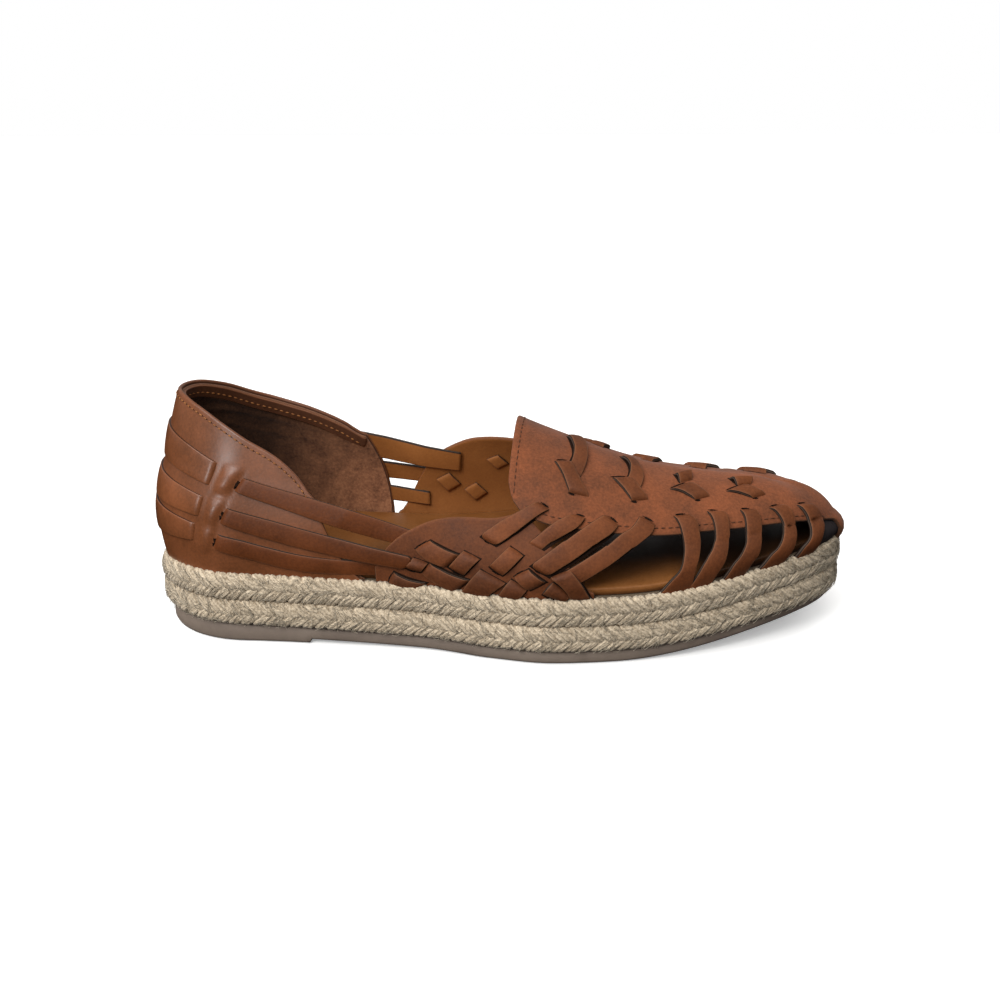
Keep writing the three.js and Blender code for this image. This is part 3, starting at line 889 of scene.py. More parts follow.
def yarn_tree() -> bpy.types.NodeTree:
    """Tree that sweeps a round yarn along lines, as wide as their thickness attribute.

    Returns:
        The tree, with inputs for the number of sides and the material.
    """
    tree, source, result = new_tree("jute_yarn", [("Sides", "NodeSocketInt")])
    add, given = partial(add_node, tree), source.outputs
    on_points = {"data_type": "FLOAT", "domain": "POINT"}
    curve = add("GeometryNodeMeshToCurve", {"Mesh": given["Geometry"]})
    far = add("GeometryNodeSplineParameter", {}).outputs["Length"]
    length = {"Geometry": curve, "Name": "along", "Value": far}
    rail = add("GeometryNodeStoreNamedAttribute", length, **on_points)
    circle = add("GeometryNodeCurvePrimitiveCircle", {"Resolution": given["Sides"], "Radius": 1.0})
    turn = add("GeometryNodeSplineParameter", {}).outputs["Factor"]
    girth = {"Geometry": circle, "Name": "around", "Value": turn}
    profile = add("GeometryNodeStoreNamedAttribute", girth, **on_points)
    width = add("GeometryNodeInputNamedAttribute", {"Name": "thick"}, data_type="FLOAT")
    sweep = {"Curve": rail, "Profile Curve": profile, "Scale": width, "Fill Caps": True}
    tube = add("GeometryNodeCurveToMesh", sweep)
    real = add("GeometryNodeRealizeInstances", {"Geometry": tube})
    dressed = add("GeometryNodeSetMaterial", {"Geometry": real, "Material": given["Material"]})
    tree.links.new(dressed.outputs[0], result.inputs[0])
    return tree


@dataclass(frozen=True)
class Leather:
    """Dyed cowhide: cloudy colour, pores in its face, lighter rims of wear and painted highlight, dark cut
    edges and a flesh side.

    Pores and nap are drawn coarser than real ones, so that they show.
    """

    name: str
    light: str
    dark: str
    roughness: float
    flesh: str = "#985f30"
    flesh_dark: str = "#865228"
    rim_wear_and_highlight: str = "#a8775a"
    cut: str = "#1d1512"
    core: str = "#57493f"
    pore_mm: float = 0.8
    pore_depth_mm: float = 0.05
    cloud_mm: float = 16.0
    nap_mm: float = 0.9
    nap_depth_mm: float = 0.06
    gloss: float = 0.3
    coat: float = 0.0
    sheen: float = 0.0
    tone_range: tuple[float, float] = (0.88, 1.1)
    ior: float = 1.48
    nap_share: float = 0.8
    mottle_range: tuple[float, float] = (0.65, 1.15)
    cut_range: tuple[float, float] = (0.02, 0.3)
    rough_spread: tuple[float, float] = (-0.07, 0.09)
    pore_strength: float = 0.6
    nap_strength: float = 0.8

    def make(self) -> bpy.types.Material:
        """Build the material's nodes.

        Returns:
            The material.
        """
        material, tree, shader = new_material(self.name)
        add = partial(add_node, tree)
        blend = {"data_type": "RGBA"}
        place = add("ShaderNodeTexCoord", {}).outputs["Object"]
        layers = [add("ShaderNodeAttribute", {}, attribute_name=key) for key in ("edge", "inside", "tone")]
        edge, inside, tone = (layer.outputs["Fac"] for layer in layers)
        noise = {"Vector": place, "Detail": 4.0, "Roughness": 0.65}
        cloud = add("ShaderNodeTexNoise", {**noise, "Scale": per_metre(self.cloud_mm)})
        nap = add("ShaderNodeTexNoise", {**noise, "Scale": per_metre(self.nap_mm)})
        pores = add("ShaderNodeTexVoronoi", {"Vector": place, "Scale": per_metre(self.pore_mm)})
        mottle = add("ShaderNodeMath", {0: nap, 1: self.nap_share, 2: cloud}, operation="MULTIPLY_ADD")
        low, high = self.mottle_range
        share = add("ShaderNodeMapRange", {"Value": mottle, "From Min": low, "From Max": high})
        face = add("ShaderNodeMix", {0: share, 6: linear(self.dark), 7: linear(self.light)}, **blend)
        rub = add("ShaderNodeMix", {0: share, 6: linear(self.flesh_dark), 7: linear(self.flesh)}, **blend)
        sided = add("ShaderNodeMix", {0: inside, 6: face.outputs[2], 7: rub.outputs[2]}, **blend)
        low, high = self.tone_range
        gain = add("ShaderNodeMapRange", {"Value": tone, "To Min": low, "To Max": high})
        toned = add("ShaderNodeVectorMath", {0: sided.outputs[2], "Scale": gain}, operation="SCALE")
        ramp = add("ShaderNodeValToRGB", {"Fac": edge})
        # Rim colours by edge: a lighter rim, partly wear and partly painted highlight, then the dark cut
        # edge and its lighter core
        stops = ((0.1, self.rim_wear_and_highlight), (0.4, self.cut), (0.75, self.cut), (1.0, self.core))
        while len(ramp.color_ramp.elements) < len(stops):
            ramp.color_ramp.elements.new(0.5)
        for element, (where, code) in zip(ramp.color_ramp.elements, stops):
            element.position = where
            element.color = linear(code)
        low, high = self.cut_range
        cut = add("ShaderNodeMapRange", {"Value": edge, "From Min": low, "From Max": high})
        colour = add("ShaderNodeMix", {0: cut, 6: toned, 7: ramp}, **blend).outputs[2]
        low, high = (self.roughness + part for part in self.rough_spread)
        span = {"From Min": 0.3, "From Max": 0.7, "To Min": low, "To Max": high}
        rough = add("ShaderNodeMapRange", {"Value": cloud, **span}).outputs[0]
        depth = {"Strength": self.pore_strength, "Distance": self.pore_depth_mm * MILLIMETRE}
        dimpled = add("ShaderNodeBump", {**depth, "Height": pores})
        depth = {"Strength": self.nap_strength, "Distance": self.nap_depth_mm * MILLIMETRE}
        normal = add("ShaderNodeBump", {**depth, "Height": nap, "Normal": dimpled}).outputs[0]
        for key, socket in (("Base Color", colour), ("Roughness", rough), ("Normal", normal)):
            tree.links.new(socket, shader.inputs[key])
        shader.inputs["IOR"].default_value = self.ior
        shader.inputs["Specular IOR Level"].default_value = self.gloss
        shader.inputs["Coat Weight"].default_value = self.coat
        shader.inputs["Coat Roughness"].default_value = 0.25
        shader.inputs["Sheen Weight"].default_value = self.sheen
        shader.inputs["Sheen Roughness"].default_value = 0.5
        return material


@dataclass(frozen=True)
class Jute:
    """Natural jute yarn: pale bast fibres that run along the yarn, in streaks between a light and a dark
    tint.

    The fibres are drawn coarser than real ones, so that they show.
    """

    name: str
    light: str
    dark: str
    girth_mm: float = 9.0
    fibre_mm: float = 0.75
    fibre_run_mm: float = 5.0
    yarn_shift: float = 40.0
    fuzz_mm: float = 0.8
    fuzz_share: float = 0.9
    tone_share: float = 0.08
    mottle_range: tuple[float, float] = (0.72, 1.26)
    relief_mm: float = 0.4

    def make(self) -> bpy.types.Material:
        """Build the material's nodes.

        Returns:
            The material.
        """
        material, tree, shader = new_material(self.name)
        add = partial(add_node, tree)
        layers = [add("ShaderNodeAttribute", {}, attribute_name=key) for key in ("along", "around", "tone")]
        along, around, tone = (layer.outputs["Fac"] for layer in layers)
        place = add("ShaderNodeCombineXYZ", {"X": along, "Y": around, "Z": tone})
        scale = (per_metre(self.fibre_run_mm), self.girth_mm / self.fibre_mm, self.yarn_shift)
        stretch = add("ShaderNodeVectorMath", {0: place, 1: scale}, operation="MULTIPLY")
        fibre = add("ShaderNodeTexNoise", {"Vector": stretch, "Scale": 1.0, "Detail": 2.0, "Roughness": 0.6})
        spot = add("ShaderNodeTexCoord", {}).outputs["Object"]
        fuzz = add("ShaderNodeTexNoise", {"Vector": spot, "Detail": 2.0, "Scale": per_metre(self.fuzz_mm)})
        mixed = add("ShaderNodeMath", {0: tone, 1: self.tone_share, 2: fibre}, operation="MULTIPLY_ADD")
        cloudy = add("ShaderNodeMath", {0: fuzz, 1: self.fuzz_share, 2: mixed}, operation="MULTIPLY_ADD")
        low, high = self.mottle_range
        share = add("ShaderNodeMapRange", {"Value": cloudy, "From Min": low, "From Max": high})
        tints = {0: share, 6: linear(self.dark), 7: linear(self.light)}
        colour = add("ShaderNodeMix", tints, data_type="RGBA")
        height = add("ShaderNodeMath", {0: fuzz, 1: fibre}, operation="ADD")
        depth = {"Strength": 1.0, "Distance": self.relief_mm * MILLIMETRE}
        relief = add("ShaderNodeBump", {**depth, "Height": height})
        tree.links.new(colour.outputs[2], shader.inputs["Base Color"])
        tree.links.new(relief.outputs[0], shader.inputs["Normal"])
        shader.inputs["Roughness"].default_value = 0.85
        shader.inputs["Sheen Weight"].default_value = 0.15
        return material


@dataclass(frozen=True)
class Rubber:
    """Moulded sole rubber: matt, slightly mottled and dusty.

    Its grain is drawn coarser than a real one, so that it shows.
    """

    name: str
    light: str
    dark: str
    cloud_mm: float = 18.0
    grit_mm: float = 0.7
    grit_depth_mm: float = 0.08
    rough_range: tuple[float, float] = (0.6, 0.85)

    def make(self) -> bpy.types.Material:
        """Build the material's nodes.

        Returns:
            The material.
        """
        material, tree, shader = new_material(self.name)
        add = partial(add_node, tree)
        place = {"Vector": add("ShaderNodeTexCoord", {}).outputs["Object"]}
        patches = {"Scale": per_metre(self.cloud_mm), "Detail": 6.0, "Roughness": 0.65}
        cloud = add("ShaderNodeTexNoise", {**place, **patches})
        grit = add("ShaderNodeTexNoise", {**place, "Scale": per_metre(self.grit_mm), "Detail": 2.0})
        share = add("ShaderNodeMapRange", {"Value": cloud, "From Min": 0.3, "From Max": 0.7})
        tints = {0: share, 6: linear(self.dark), 7: linear(self.light)}
        colour = add("ShaderNodeMix", tints, data_type="RGBA")
        low, high = self.rough_range
        rough = add("ShaderNodeMapRange", {"Value": grit, "To Min": low, "To Max": high})
        depth = {"Strength": 0.5, "Distance": self.grit_depth_mm * MILLIMETRE}
        relief = add("ShaderNodeBump", {**depth, "Height": grit})
        tree.links.new(colour.outputs[2], shader.inputs["Base Color"])
        tree.links.new(rough.outputs[0], shader.inputs["Roughness"])
        tree.links.new(relief.outputs[0], shader.inputs["Normal"])
        return material


# Nubuck: cowhide brushed on the grain side, so it is matt and a little furry; its flesh side is painted near
# black as the shade under the plug
NUBUCK = Leather(
    "brushed_nubuck",
    "#8a4d2d",
    "#5a321b",
    roughness=0.8,
    flesh="#24160f",
    flesh_dark="#1c110b",
    rim_wear_and_highlight="#8d5a3a",
    pore_mm=1.1,
    sheen=0.04,
)
# Waxed calf: smooth and polished, with a soft shine on the curve of the heel
WAXED = Leather(
    "waxed_calf",
    "#7f4a2b",
    "#603820",
    roughness=0.36,
    flesh="#5c3a28",
    flesh_dark="#4c2e1f",
    rim_wear_and_highlight="#8f5a3a",
    cut="#331c12",
    core="#44281a",
    pore_depth_mm=0.03,
    nap_depth_mm=0.015,
    gloss=0.35,
    coat=0.2,
)
# Strap leather: the same hide cut into strips, dyed through, with dark raw edges
STRAP = Leather(
    "strap_leather", "#764224", "#542d17", roughness=0.62, rim_wear_and_highlight="#8a5c3d", gloss=0.2, tone_range=(0.85, 1.12)
)
# Weave leather: strips of the same hide; its wide tone range carries painted shade that darkens the squares
# toward the sole
WEAVE = replace(STRAP, name="weave_leather", tone_range=(0.6, 1.08))
# Waxed strap: the polished straps that hold the heel, their colour darkened as painted shade
HEEL_STRAP = Leather(
    "waxed_strap", "#693719", "#4d2711", roughness=0.5, rim_wear_and_highlight="#7c4d30", gloss=0.2, tone_range=(0.92, 1.08)
)
# Heel lining: brown suede, whose brushed nap swallows the light; its wide tone range carries painted shade
# toward the back and the collar
SUEDE = Leather(
    "lining_suede",
    "#966749",
    "#5f3d2b",
    roughness=0.95,
    flesh="#966749",
    flesh_dark="#5f3d2b",
    pore_mm=1.6,
    pore_depth_mm=0.2,
    nap_mm=1.1,
    nap_depth_mm=0.4,
    cloud_mm=7,
    gloss=0.1,
    sheen=0.1,
    tone_range=(0.22, 1.32),
)
# Footbed: tan lining leather, smooth and slightly glossy; its wide tone range carries painted shade toward
# the toe, beside the straps and on the inner side
FOOTBED = Leather(
    "footbed_leather",
    "#8c5a2f",
    "#764820",
    roughness=0.5,
    pore_depth_mm=0.03,
    nap_depth_mm=0.02,
    tone_range=(0.12, 1.0),
)
# Raw slit: the dark flesh of the leather inside a cut, with the painted shade in it; it also dresses the
# painted shadow beside strips and the painted shade of the collar's groove
CUT_AND_SHADE = Leather(
    "raw_slit", "#2a1b13", "#1e120c", 0.9, rim_wear_and_highlight="#1e120c", cut="#1e120c", core="#1e120c", gloss=0.1
)
# Toe lining: dark grey split leather behind the tip
TOE_LINING = Leather(
    "toe_lining",
    "#352f30",
    "#282324",
    roughness=0.85,
    flesh="#352f30",
    flesh_dark="#282324",
    rim_wear_and_highlight="#4a4243",
    gloss=0.15,
)
# Waxed thread, drawn a little thick so that it shows
THREAD = Leather("waxed_thread", "#b0743f", "#84502a", 0.6, pore_mm=0.3, pore_depth_mm=0.02, cloud_mm=6)
# Dark thread of the plug, sunk between its pinholes
DARK_THREAD = replace(THREAD, name="dark_thread", light="#5e3822", dark="#442616")
# Plaited jute: pale, dry and fibrous; the hollows between its yarns show the core's painted shade
JUTE = Jute("plaited_jute", "#dccaaf", "#8c7b64")
# Loose fibres: pale ends that stand off the yarns, drawn thicker than real ones so that they show
JUTE_FIBRE = replace(JUTE, name="loose_jute_fibre", light="#e0d2ba", dark="#b0a087")
# Core of the braid: the same jute, painted dark as the shade between the yarns
JUTE_CORE_SHADE = replace(JUTE, name="packed_jute", light="#6b5b47", dark="#4c4032")
# Sole rubber: moulded, grey-brown and matt, with a dusty grain
SOLE_RUBBER = Rubber("moulded_rubber", "#88796c", "#706257")


@dataclass(frozen=True)
class StitchRow:
    """Sizes of a row of stitches."""

    pitch: float = 2.6
    length: float = 1.9
    thickness: float = 0.55

    def lay(
        self, name: str, lines: Sequence[tuple[Array, Array, float]], material: bpy.types.Material
    ) -> bpy.types.Object:
        """Lay stitches along lines on the leather.

        Args:
            name: name of the piece.
            lines: angles, rises and the lift of each line.
            material: thread finish.

        Returns:
            The finished piece.
        """
        maker = LineMaker(name)
        for angle, rise, lift in lines:
            maker.add(LAST.lifted(angle, rise, lift), up=LAST.normal(angle, rise))
        sizes = {"Pitch": self.pitch, "Length": self.length, "Thickness": self.thickness}
        values = {key: size * MILLIMETRE for key, size in sizes.items()}
        piece = maker.grow(stitch_tree(), {**values, "Material": material})
        return finish_piece(piece, Finish.UPPER)


@dataclass
class Vamp:
    """The plug over the toes with the strips woven through it and the strips down to the sole."""

    wall: float = 1.6
    seat: float = 0.35
    strip_thickness: float = 1.5
    strip_arch: float = 0.3
    loop_arch: tuple[float, ...] = (0.0, 0.9, 1.1, 0.3)
    loop_end: float = -0.9
    inner_loop_share: float = 0.4
    toe_thickness: float = 1.7
    toe_arch: tuple[float, ...] = (0.0, 0.2, 0.0)
    toe_low_lifts: tuple[float, ...] = (0.9, 0.5, 0.2)
    # Distance from the throat's edge, and the rises between which its stitches run
    throat_stitch: tuple[float, float, float] = (2.2, 0.46, 1.54)
    # Stations between which the lower edge is stitched, and the rise over the edge
    edge_stitch: tuple[float, float, float] = (143, 253, 0.03)
    # Station and rise of the plug's lower edge
    plug_rows: Rows = (
        (134, 0.5),
        (135.5, 0.44),
        (139, 0.39),
        (144, 0.365),
        (153, 0.35),
        (191, 0.347),
        (207, 0.354),
        (220, 0.344),
        (232, 0.334),
        (243, 0.316),
        (254, 0.272),
        (257.3, 0.238),
        (258.4, 0.05),
        (259, 0),
        (260, 0),
    )
    # The same near the tip, where the inner edge comes down sooner
    inner_tip: Rows = ((243, 0.5), (249, 0.24), (254, 0.06), (257, 0), (260, 0))
    woven: tuple[Edges, ...] = (
        (
            ((157.2, 0.701), (160.3, 0.612), (164.7, 0.499)),
            ((150.7, 0.675), (154.1, 0.604), (157.2, 0.507)),
        ),
        (((181.6, 0.683), (184, 0.62), (187.7, 0.533)), ((173.9, 0.65), (177.4, 0.59), (181, 0.516))),
        (
            ((206.1, 0.698), (209.2, 0.643), (212.6, 0.567)),
            ((196.6, 0.625), (201.4, 0.603), (206.2, 0.544)),
        ),
        (
            ((228.6, 0.688), (231.9, 0.636), (235.5, 0.566)),
            ((219.2, 0.617), (223.9, 0.592), (229.3, 0.539)),
        ),
    )
    loops: tuple[Edges, ...] = (
        (
            ((162, 0.99), (164.1, 0.852), (164.5, 0.746), (163, 0.656), (160.9, 0.59)),
            ((156.3, 0.925), (158.2, 0.828), (158.8, 0.77), (158.1, 0.701), (156.6, 0.66)),
        ),
        (
            ((185.6, 0.875), (186.9, 0.767), (187.1, 0.676), (184.7, 0.595), (183.4, 0.57)),
            ((180, 0.86), (182, 0.8), (182.4, 0.745), (181.4, 0.686), (179.5, 0.64)),
        ),
        (
            ((210, 0.82), (209.8, 0.79), (209.5, 0.76), (208.9, 0.72)),
            ((201.9, 0.765), (202.2, 0.74), (202.4, 0.715), (202.6, 0.68)),
        ),
        (
            ((235.9, 0.775), (235.2, 0.75), (234.2, 0.72), (233, 0.69)),
            ((225.6, 0.765), (225.9, 0.74), (226.1, 0.71), (226.4, 0.67)),
        ),
    )
    # Station and rise by which the inner side's strips are moved from the outer side's
    inner_shift: tuple[float, float] = (11.5, 0.06)
    # Station where the lining starts, and its rise
    tip_lining: tuple[float, float] = (249.5, 0.3)
    toe_strips: tuple[Edges, ...] = (
        (
            (
                (201.5, 0.459), (203.9, 0.411), (204.2, 0.341), (204.1, 0.263),
                (203.1, 0.196), (201.6, 0.12), (200.4, -0.02),
            ),
            (
                (195.7, 0.452), (197.3, 0.39), (198.1, 0.279), (197.6, 0.209),
                (196.1, 0.135), (193, 0.079), (188.6, -0.02),
            ),
        ),
        (
            (
                (214, 0.468), (215.8, 0.43), (215.4, 0.345), (214.6, 0.265),
                (212.4, 0.15), (209.6, 0.07), (207.4, -0.02),
            ),
            (
                (208.7, 0.477), (210, 0.41), (209.9, 0.312), (208.6, 0.24),
                (206.2, 0.186), (203.4, 0.12), (198.8, -0.02),
            ),
        ),
        (
            (
                (226.4, 0.459), (227.9, 0.417), (227.3, 0.315), (226.2, 0.225),
                (224.4, 0.138), (222, 0.085), (219.8, -0.02),
            ),
            (
                (221.5, 0.469), (222.1, 0.4), (221.5, 0.322), (220.6, 0.23),
                (218, 0.158), (215, 0.1), (211.8, -0.02),
            ),
        ),
        (
            (
                (238.5, 0.474), (240.5, 0.422), (240.6, 0.349), (239.7, 0.235),
                (238, 0.145), (236.6, 0.09), (234.4, -0.02),
            ),
            (
                (232.8, 0.459), (234.8, 0.4), (235.7, 0.292), (233.9, 0.204),
                (231.4, 0.142), (228.6, 0.1), (225.2, -0.02),
            ),
        ),
        (
            (
                (250.2, 0.476), (251.9, 0.39), (251.9, 0.325), (251, 0.232),
                (249, 0.155), (247.8, 0.09), (246.8, -0.02),
            ),
            (
                (244.5, 0.462), (245.7, 0.37), (245.8, 0.27), (244.3, 0.168),
                (242.8, 0.125), (241, 0.085), (239.6, -0.02),
            ),
        ),
    )

    def build(self) -> None:
        """Build and dress the plug, its strips, its slits and its stitches."""
        edge, inner = SmoothColumn(self.plug_rows), SmoothColumn(self.inner_tip)
        first = LAST.angle(self.plug_rows[0][0])
        angle = first + (math.pi - first) * edge_spaced(88, 0.006)
        at = LAST.station(angle)
        low, far = edge(at)[:, None], 2 - np.minimum(edge(at), inner(at))[:, None]
        rise = low + (far - low) * edge_spaced(45, 0.008)
        plug = Maker("vamp_plug")
        angles = np.broadcast_to(angle[:, None], rise.shape)
        add_sheet(plug, angles, rise, self.wall, 0.0, cut=(0.3, 0.3, 0.05))
        finish_piece(plug.build(NUBUCK.make()), Finish.UPPER, "upper")
        self.line_tip()
        self.weave()
        self.stitch(edge)

    def weave(self) -> None:
        """Build and dress the strips through the plug, the toe strips and the slits they go into."""
        on = self.wall - self.seat
        woven, slits, toe = Maker("vamp_strips"), Maker("vamp_slits"), Maker("toe_strips")
        for side in Side:
            share = 1.0 if side is Side.OUTER else self.inner_loop_share
            lifts = (*(on + arch * share for arch in self.loop_arch), on + self.loop_end)
            for rows in zip(self.loops, self.woven):
                (up_one, up_two), (one, two) = rows if side is Side.OUTER else map(self.moved, rows)
                loop = Strip(up_one, up_two, lifts, self.strip_thickness, side, dips=(0.9, 0))
                loop.add_to(woven)
                # Dark sheets: the slit is the cut with painted shade in it, the gap beside the loop is
                # painted shadow
                loop.slit(0, self.wall, width=0.8).add_to(slits)
                loop.gap(self.wall, 0, 0.4).add_to(slits)
                low_lifts = (on, on + self.strip_arch, on)
                strip = Strip(one, two, low_lifts, self.strip_thickness, side, dips=(0.8, 0.8))
                strip.add_to(woven)
                strip.slit(0, self.wall).add_to(slits)
                strip.slit(-1, self.wall, width=0.7, span=(0.6, 1.15)).add_to(slits)
        toe_lifts = (*(on + arch for arch in self.toe_arch), *self.toe_low_lifts)
        for side in Side:
            for one, two in self.toe_strips:
                strip = Strip(one, two, toe_lifts, self.toe_thickness, side, dips=(0.8, 0))
                strip.add_to(toe)
                strip.slit(0, self.wall).add_to(slits)
        strap = STRAP.make()
        finish_piece(woven.build(strap), Finish.UPPER, "upper")
        finish_piece(toe.build(strap), Finish.UPPER, "upper")
        finish_piece(slits.build(CUT_AND_SHADE.make()), Finish.UPPER, "upper")

    def line_tip(self) -> None:
        """Build and dress the dark lining behind the tip."""
        start, top = self.tip_lining
        first = LAST.angle(start)
        angle = first + (2 * math.pi - 2 * first) * edge_spaced(40, 0.01)
        angle, rise = np.broadcast_arrays(angle[:, None], top * edge_spaced(10, 0.05)[None, :])
        lining = Maker("toe_lining")
        add_sheet(lining, angle, rise, outer=-0.15, inner=-0.9, cut=(0.1, 0.1, 0.1, 0.1))
        finish_piece(lining.build(TOE_LINING.make()), Finish.UPPER, "upper")

    def moved(self, edges: Edges) -> Edges:
        """Edges of the inner side's strip, which lies between two strips of the outer side.

        Args:
            edges: both edges of the outer side's strip.

        Returns:
            Both edges, moved.
        """
        along, up = self.inner_shift
        one, two = (tuple((at + along, rise + up) for at, rise in edge) for edge in edges)
        return one, two

    def stitch(self, edge: SmoothColumn) -> None:
        """Stitch the throat and the lower edge of the plug.

        Args:
            edge: rise of the plug's lower edge by station.
        """
        over = self.wall + 0.1
        inwards, first, last = self.throat_stitch
        throat = np.linspace(first, last, 90)
        lines = [(np.full(90, LAST.angle(self.plug_rows[0][0] + inwards)), throat, over)]
        first, last, inwards = self.edge_stitch
        at = np.linspace(first, last, 120)
        for side in Side:
            lines.append((side.value * LAST.angle(at), edge(at) + inwards, over))
        StitchRow(thickness=0.45).lay("vamp_stitches", lines, DARK_THREAD.make())


@dataclass
class Quarters:
    """The half moons beside the foot, with straps woven through their slits up to the plug."""

    outer_lift: float = 1.2
    inner_lift: float = -0.4
    plug_wall: float = 1.6
    seat: float = 0.3
    strap_thickness: float = 1.7
    square_thickness: float = 1.5
    square_arch: float = 0.5
    # Rise under which the weave's squares get painted shade, darker toward the sole
    painted_light_from: float = 0.17
    inside_lift: float = -1.7
    inside_thickness: float = 1.4
    # Station, and the rise of the upper edge on the outer and the inner side
    rows: Rows = (
        (88.5, 0.05, 0.02),
        (92, 0.11, 0.06),
        (97, 0.165, 0.17),
        (101, 0.196, 0.265),
        (109, 0.248, 0.36),
        (118, 0.284, 0.435),
        (130, 0.317, 0.485),
        (140, 0.36, 0.5),
        (146, 0.31, 0.4),
        (153, 0.21, 0.25),
        (160, 0.12, 0.13),
        (166, 0.02, 0.03),
    )
    straps: tuple[Edges, ...] = (
        (
            ((145.7, 0.442), (139.4, 0.381), (132.2, 0.314), (127.7, 0.265), (124.7, 0.232)),
            ((150.3, 0.416), (145.6, 0.371), (139.8, 0.304), (135.3, 0.251), (130.7, 0.208)),
        ),
        (
            ((159.1, 0.412), (153.7, 0.373), (149.4, 0.331), (145.6, 0.285), (142.6, 0.25)),
            ((163.4, 0.403), (160.2, 0.347), (155.6, 0.305), (150.7, 0.263), (147.4, 0.228)),
        ),
        (
            (
                (170.8, 0.43), (166.3, 0.389), (160.9, 0.334), (155.6, 0.278),
                (150.4, 0.226), (145.2, 0.175), (142.8, 0.151),
            ),
            (
                (175.4, 0.386), (172.3, 0.334), (168, 0.291), (164.4, 0.251),
                (159.2, 0.2), (154, 0.155), (149.2, 0.113),
            ),
        ),
        (
            (
                (183.5, 0.446), (179.7, 0.375), (175.2, 0.331), (169.7, 0.264),
                (164.4, 0.216), (159.2, 0.171), (154.6, 0.13),
            ),
            (
                (188.7, 0.407), (186.8, 0.348), (182.3, 0.295), (176.7, 0.234),
                (171.3, 0.179), (166.2, 0.134), (159, 0.066),
            ),
        ),
    )
    strap_lifts: Rows = (
        (1.2, 1.7, 1.6, 1.1, 0.9),
        (1.2, 1.6, 1.3, 0.5, -0.3),
        (1.2, 1.7, 1.7, 1.5, 1.2, 0.9),
        (1.2, 1.7, 1.7, 1.2, 0.8, -0.6),
    )
    # Radius of the lower end, its dip, and the width of the painted shadow beside the strap
    strap_ends: Rows = ((1.8, 0.7, 0.6), (0, 0, 1.0), (2.4, 0.7, 1.5), (0, 0, 0.3))
    rising: tuple[Edges, ...] = (
        (((102.2, 0.106), (98.5, 0.057)), ((107.5, 0.093), (104.2, 0.046))),
        (
            ((119.7, 0.17), (116.7, 0.125), (113.9, 0.084)),
            ((125.9, 0.151), (122.8, 0.11), (119.5, 0.062)),
        ),
        (
            ((136.1, 0.225), (132.2, 0.171), (128.5, 0.121)),
            ((141.2, 0.196), (137.5, 0.142), (133.4, 0.089)),
        ),
        (
            ((125.9, 0.111), (121.9, 0.053), (118.1, -0.015)),
            ((135.1, 0.064), (131.2, 0.026), (127.4, -0.02)),
        ),
        (
            ((136.8, 0.088), (134, 0.043), (131.4, -0.012)),
            ((142.8, 0.047), (140.6, 0.015), (138.8, -0.018)),
        ),
        (
            ((152.1, 0.094), (149.6, 0.064), (147.4, 0.02)),
            ((158.4, 0.022), (156.6, 0.004), (154.6, -0.015)),
        ),
    )
    falling: tuple[Edges, ...] = (
        (
            ((107.3, 0.176), (113, 0.157), (118.7, 0.145)),
            ((102.2, 0.135), (107.5, 0.101), (113.9, 0.084)),
        ),
        (
            ((107.4, 0.093), (115.2, 0.066), (122.6, 0.051)),
            ((104.6, 0.05), (111.4, 0.01), (116.7, -0.01)),
        ),
        (
            ((94.5, 0.041), (100.1, 0.021), (106.8, 0.009)),
            ((92.3, 0.002), (96.9, -0.018), (103.2, -0.03)),
        ),
        (
            ((142.4, 0.141), (146, 0.112), (149.6, 0.084)),
            ((137.2, 0.098), (140.3, 0.068), (143.5, 0.035)),
        ),
        (
            ((157.2, 0.156), (160, 0.117), (162.5, 0.069), (165.5, -0.01)),
            ((150.3, 0.113), (154.2, 0.078), (156.7, 0.038), (158.1, -0.01)),
        ),
    )
    # Station and rise of the weave that shows inside the inner quarter
    inside_squares: Rows = ((126.7, 0.312), (107.7, 0.171), (118.2, 0.13))

    def build(self) -> None:
        """Build and dress both quarters, their straps, squares and slits."""
        first, last = self.rows[0][0], self.rows[-1][0]
        at = first + (last - first) * edge_spaced(70, 0.006)
        panels, straps = Maker("quarters"), Maker("side_straps")
        squares, slits = Maker("weave_squares"), Maker("quarter_slits")
        on = self.outer_lift - self.seat
        lifts = (on, on + self.square_arch, on)
        for side, column in ((Side.OUTER, 1), (Side.INNER, 2)):
            rise = SmoothColumn(self.rows, column)(at)[:, None] * edge_spaced(14, 0.03)
            angle = np.broadcast_to(side.value * LAST.angle(at)[:, None], rise.shape)
            add_sheet(panels, angle, rise, self.outer_lift, self.inner_lift, cut=(0.3, 0.12, 0.4, 0.4))
            for (one, two), heights, ends in zip(self.straps, self.strap_lifts, self.strap_ends):
                radius, dip, shadow = ends
                strip = Strip(one, two, heights, self.strap_thickness, side, (0.8, dip), (0, radius))
                strip.add_to(straps)
                strip.slit(0, self.plug_wall).add_to(slits)
                # Painted shadow: a dark sheet in the gap beside the strap
                strip.gap(self.outer_lift, 0, shadow).add_to(slits)
                if dip:
                    strip.slit(-1, self.outer_lift, reach=-0.8).add_to(slits)
            for one, two in self.rising + self.falling:
                # Painted shade: the lower a square lies, the darker its tone
                tone = min(1.0, np.mean([row[1] for row in one + two]) / self.painted_light_from)
                dips = (0.9, 0.9)
                strip = Strip(one, two, lifts, self.square_thickness, side, dips, crown=0.3, tone=tone)
                strip.add_to(squares)
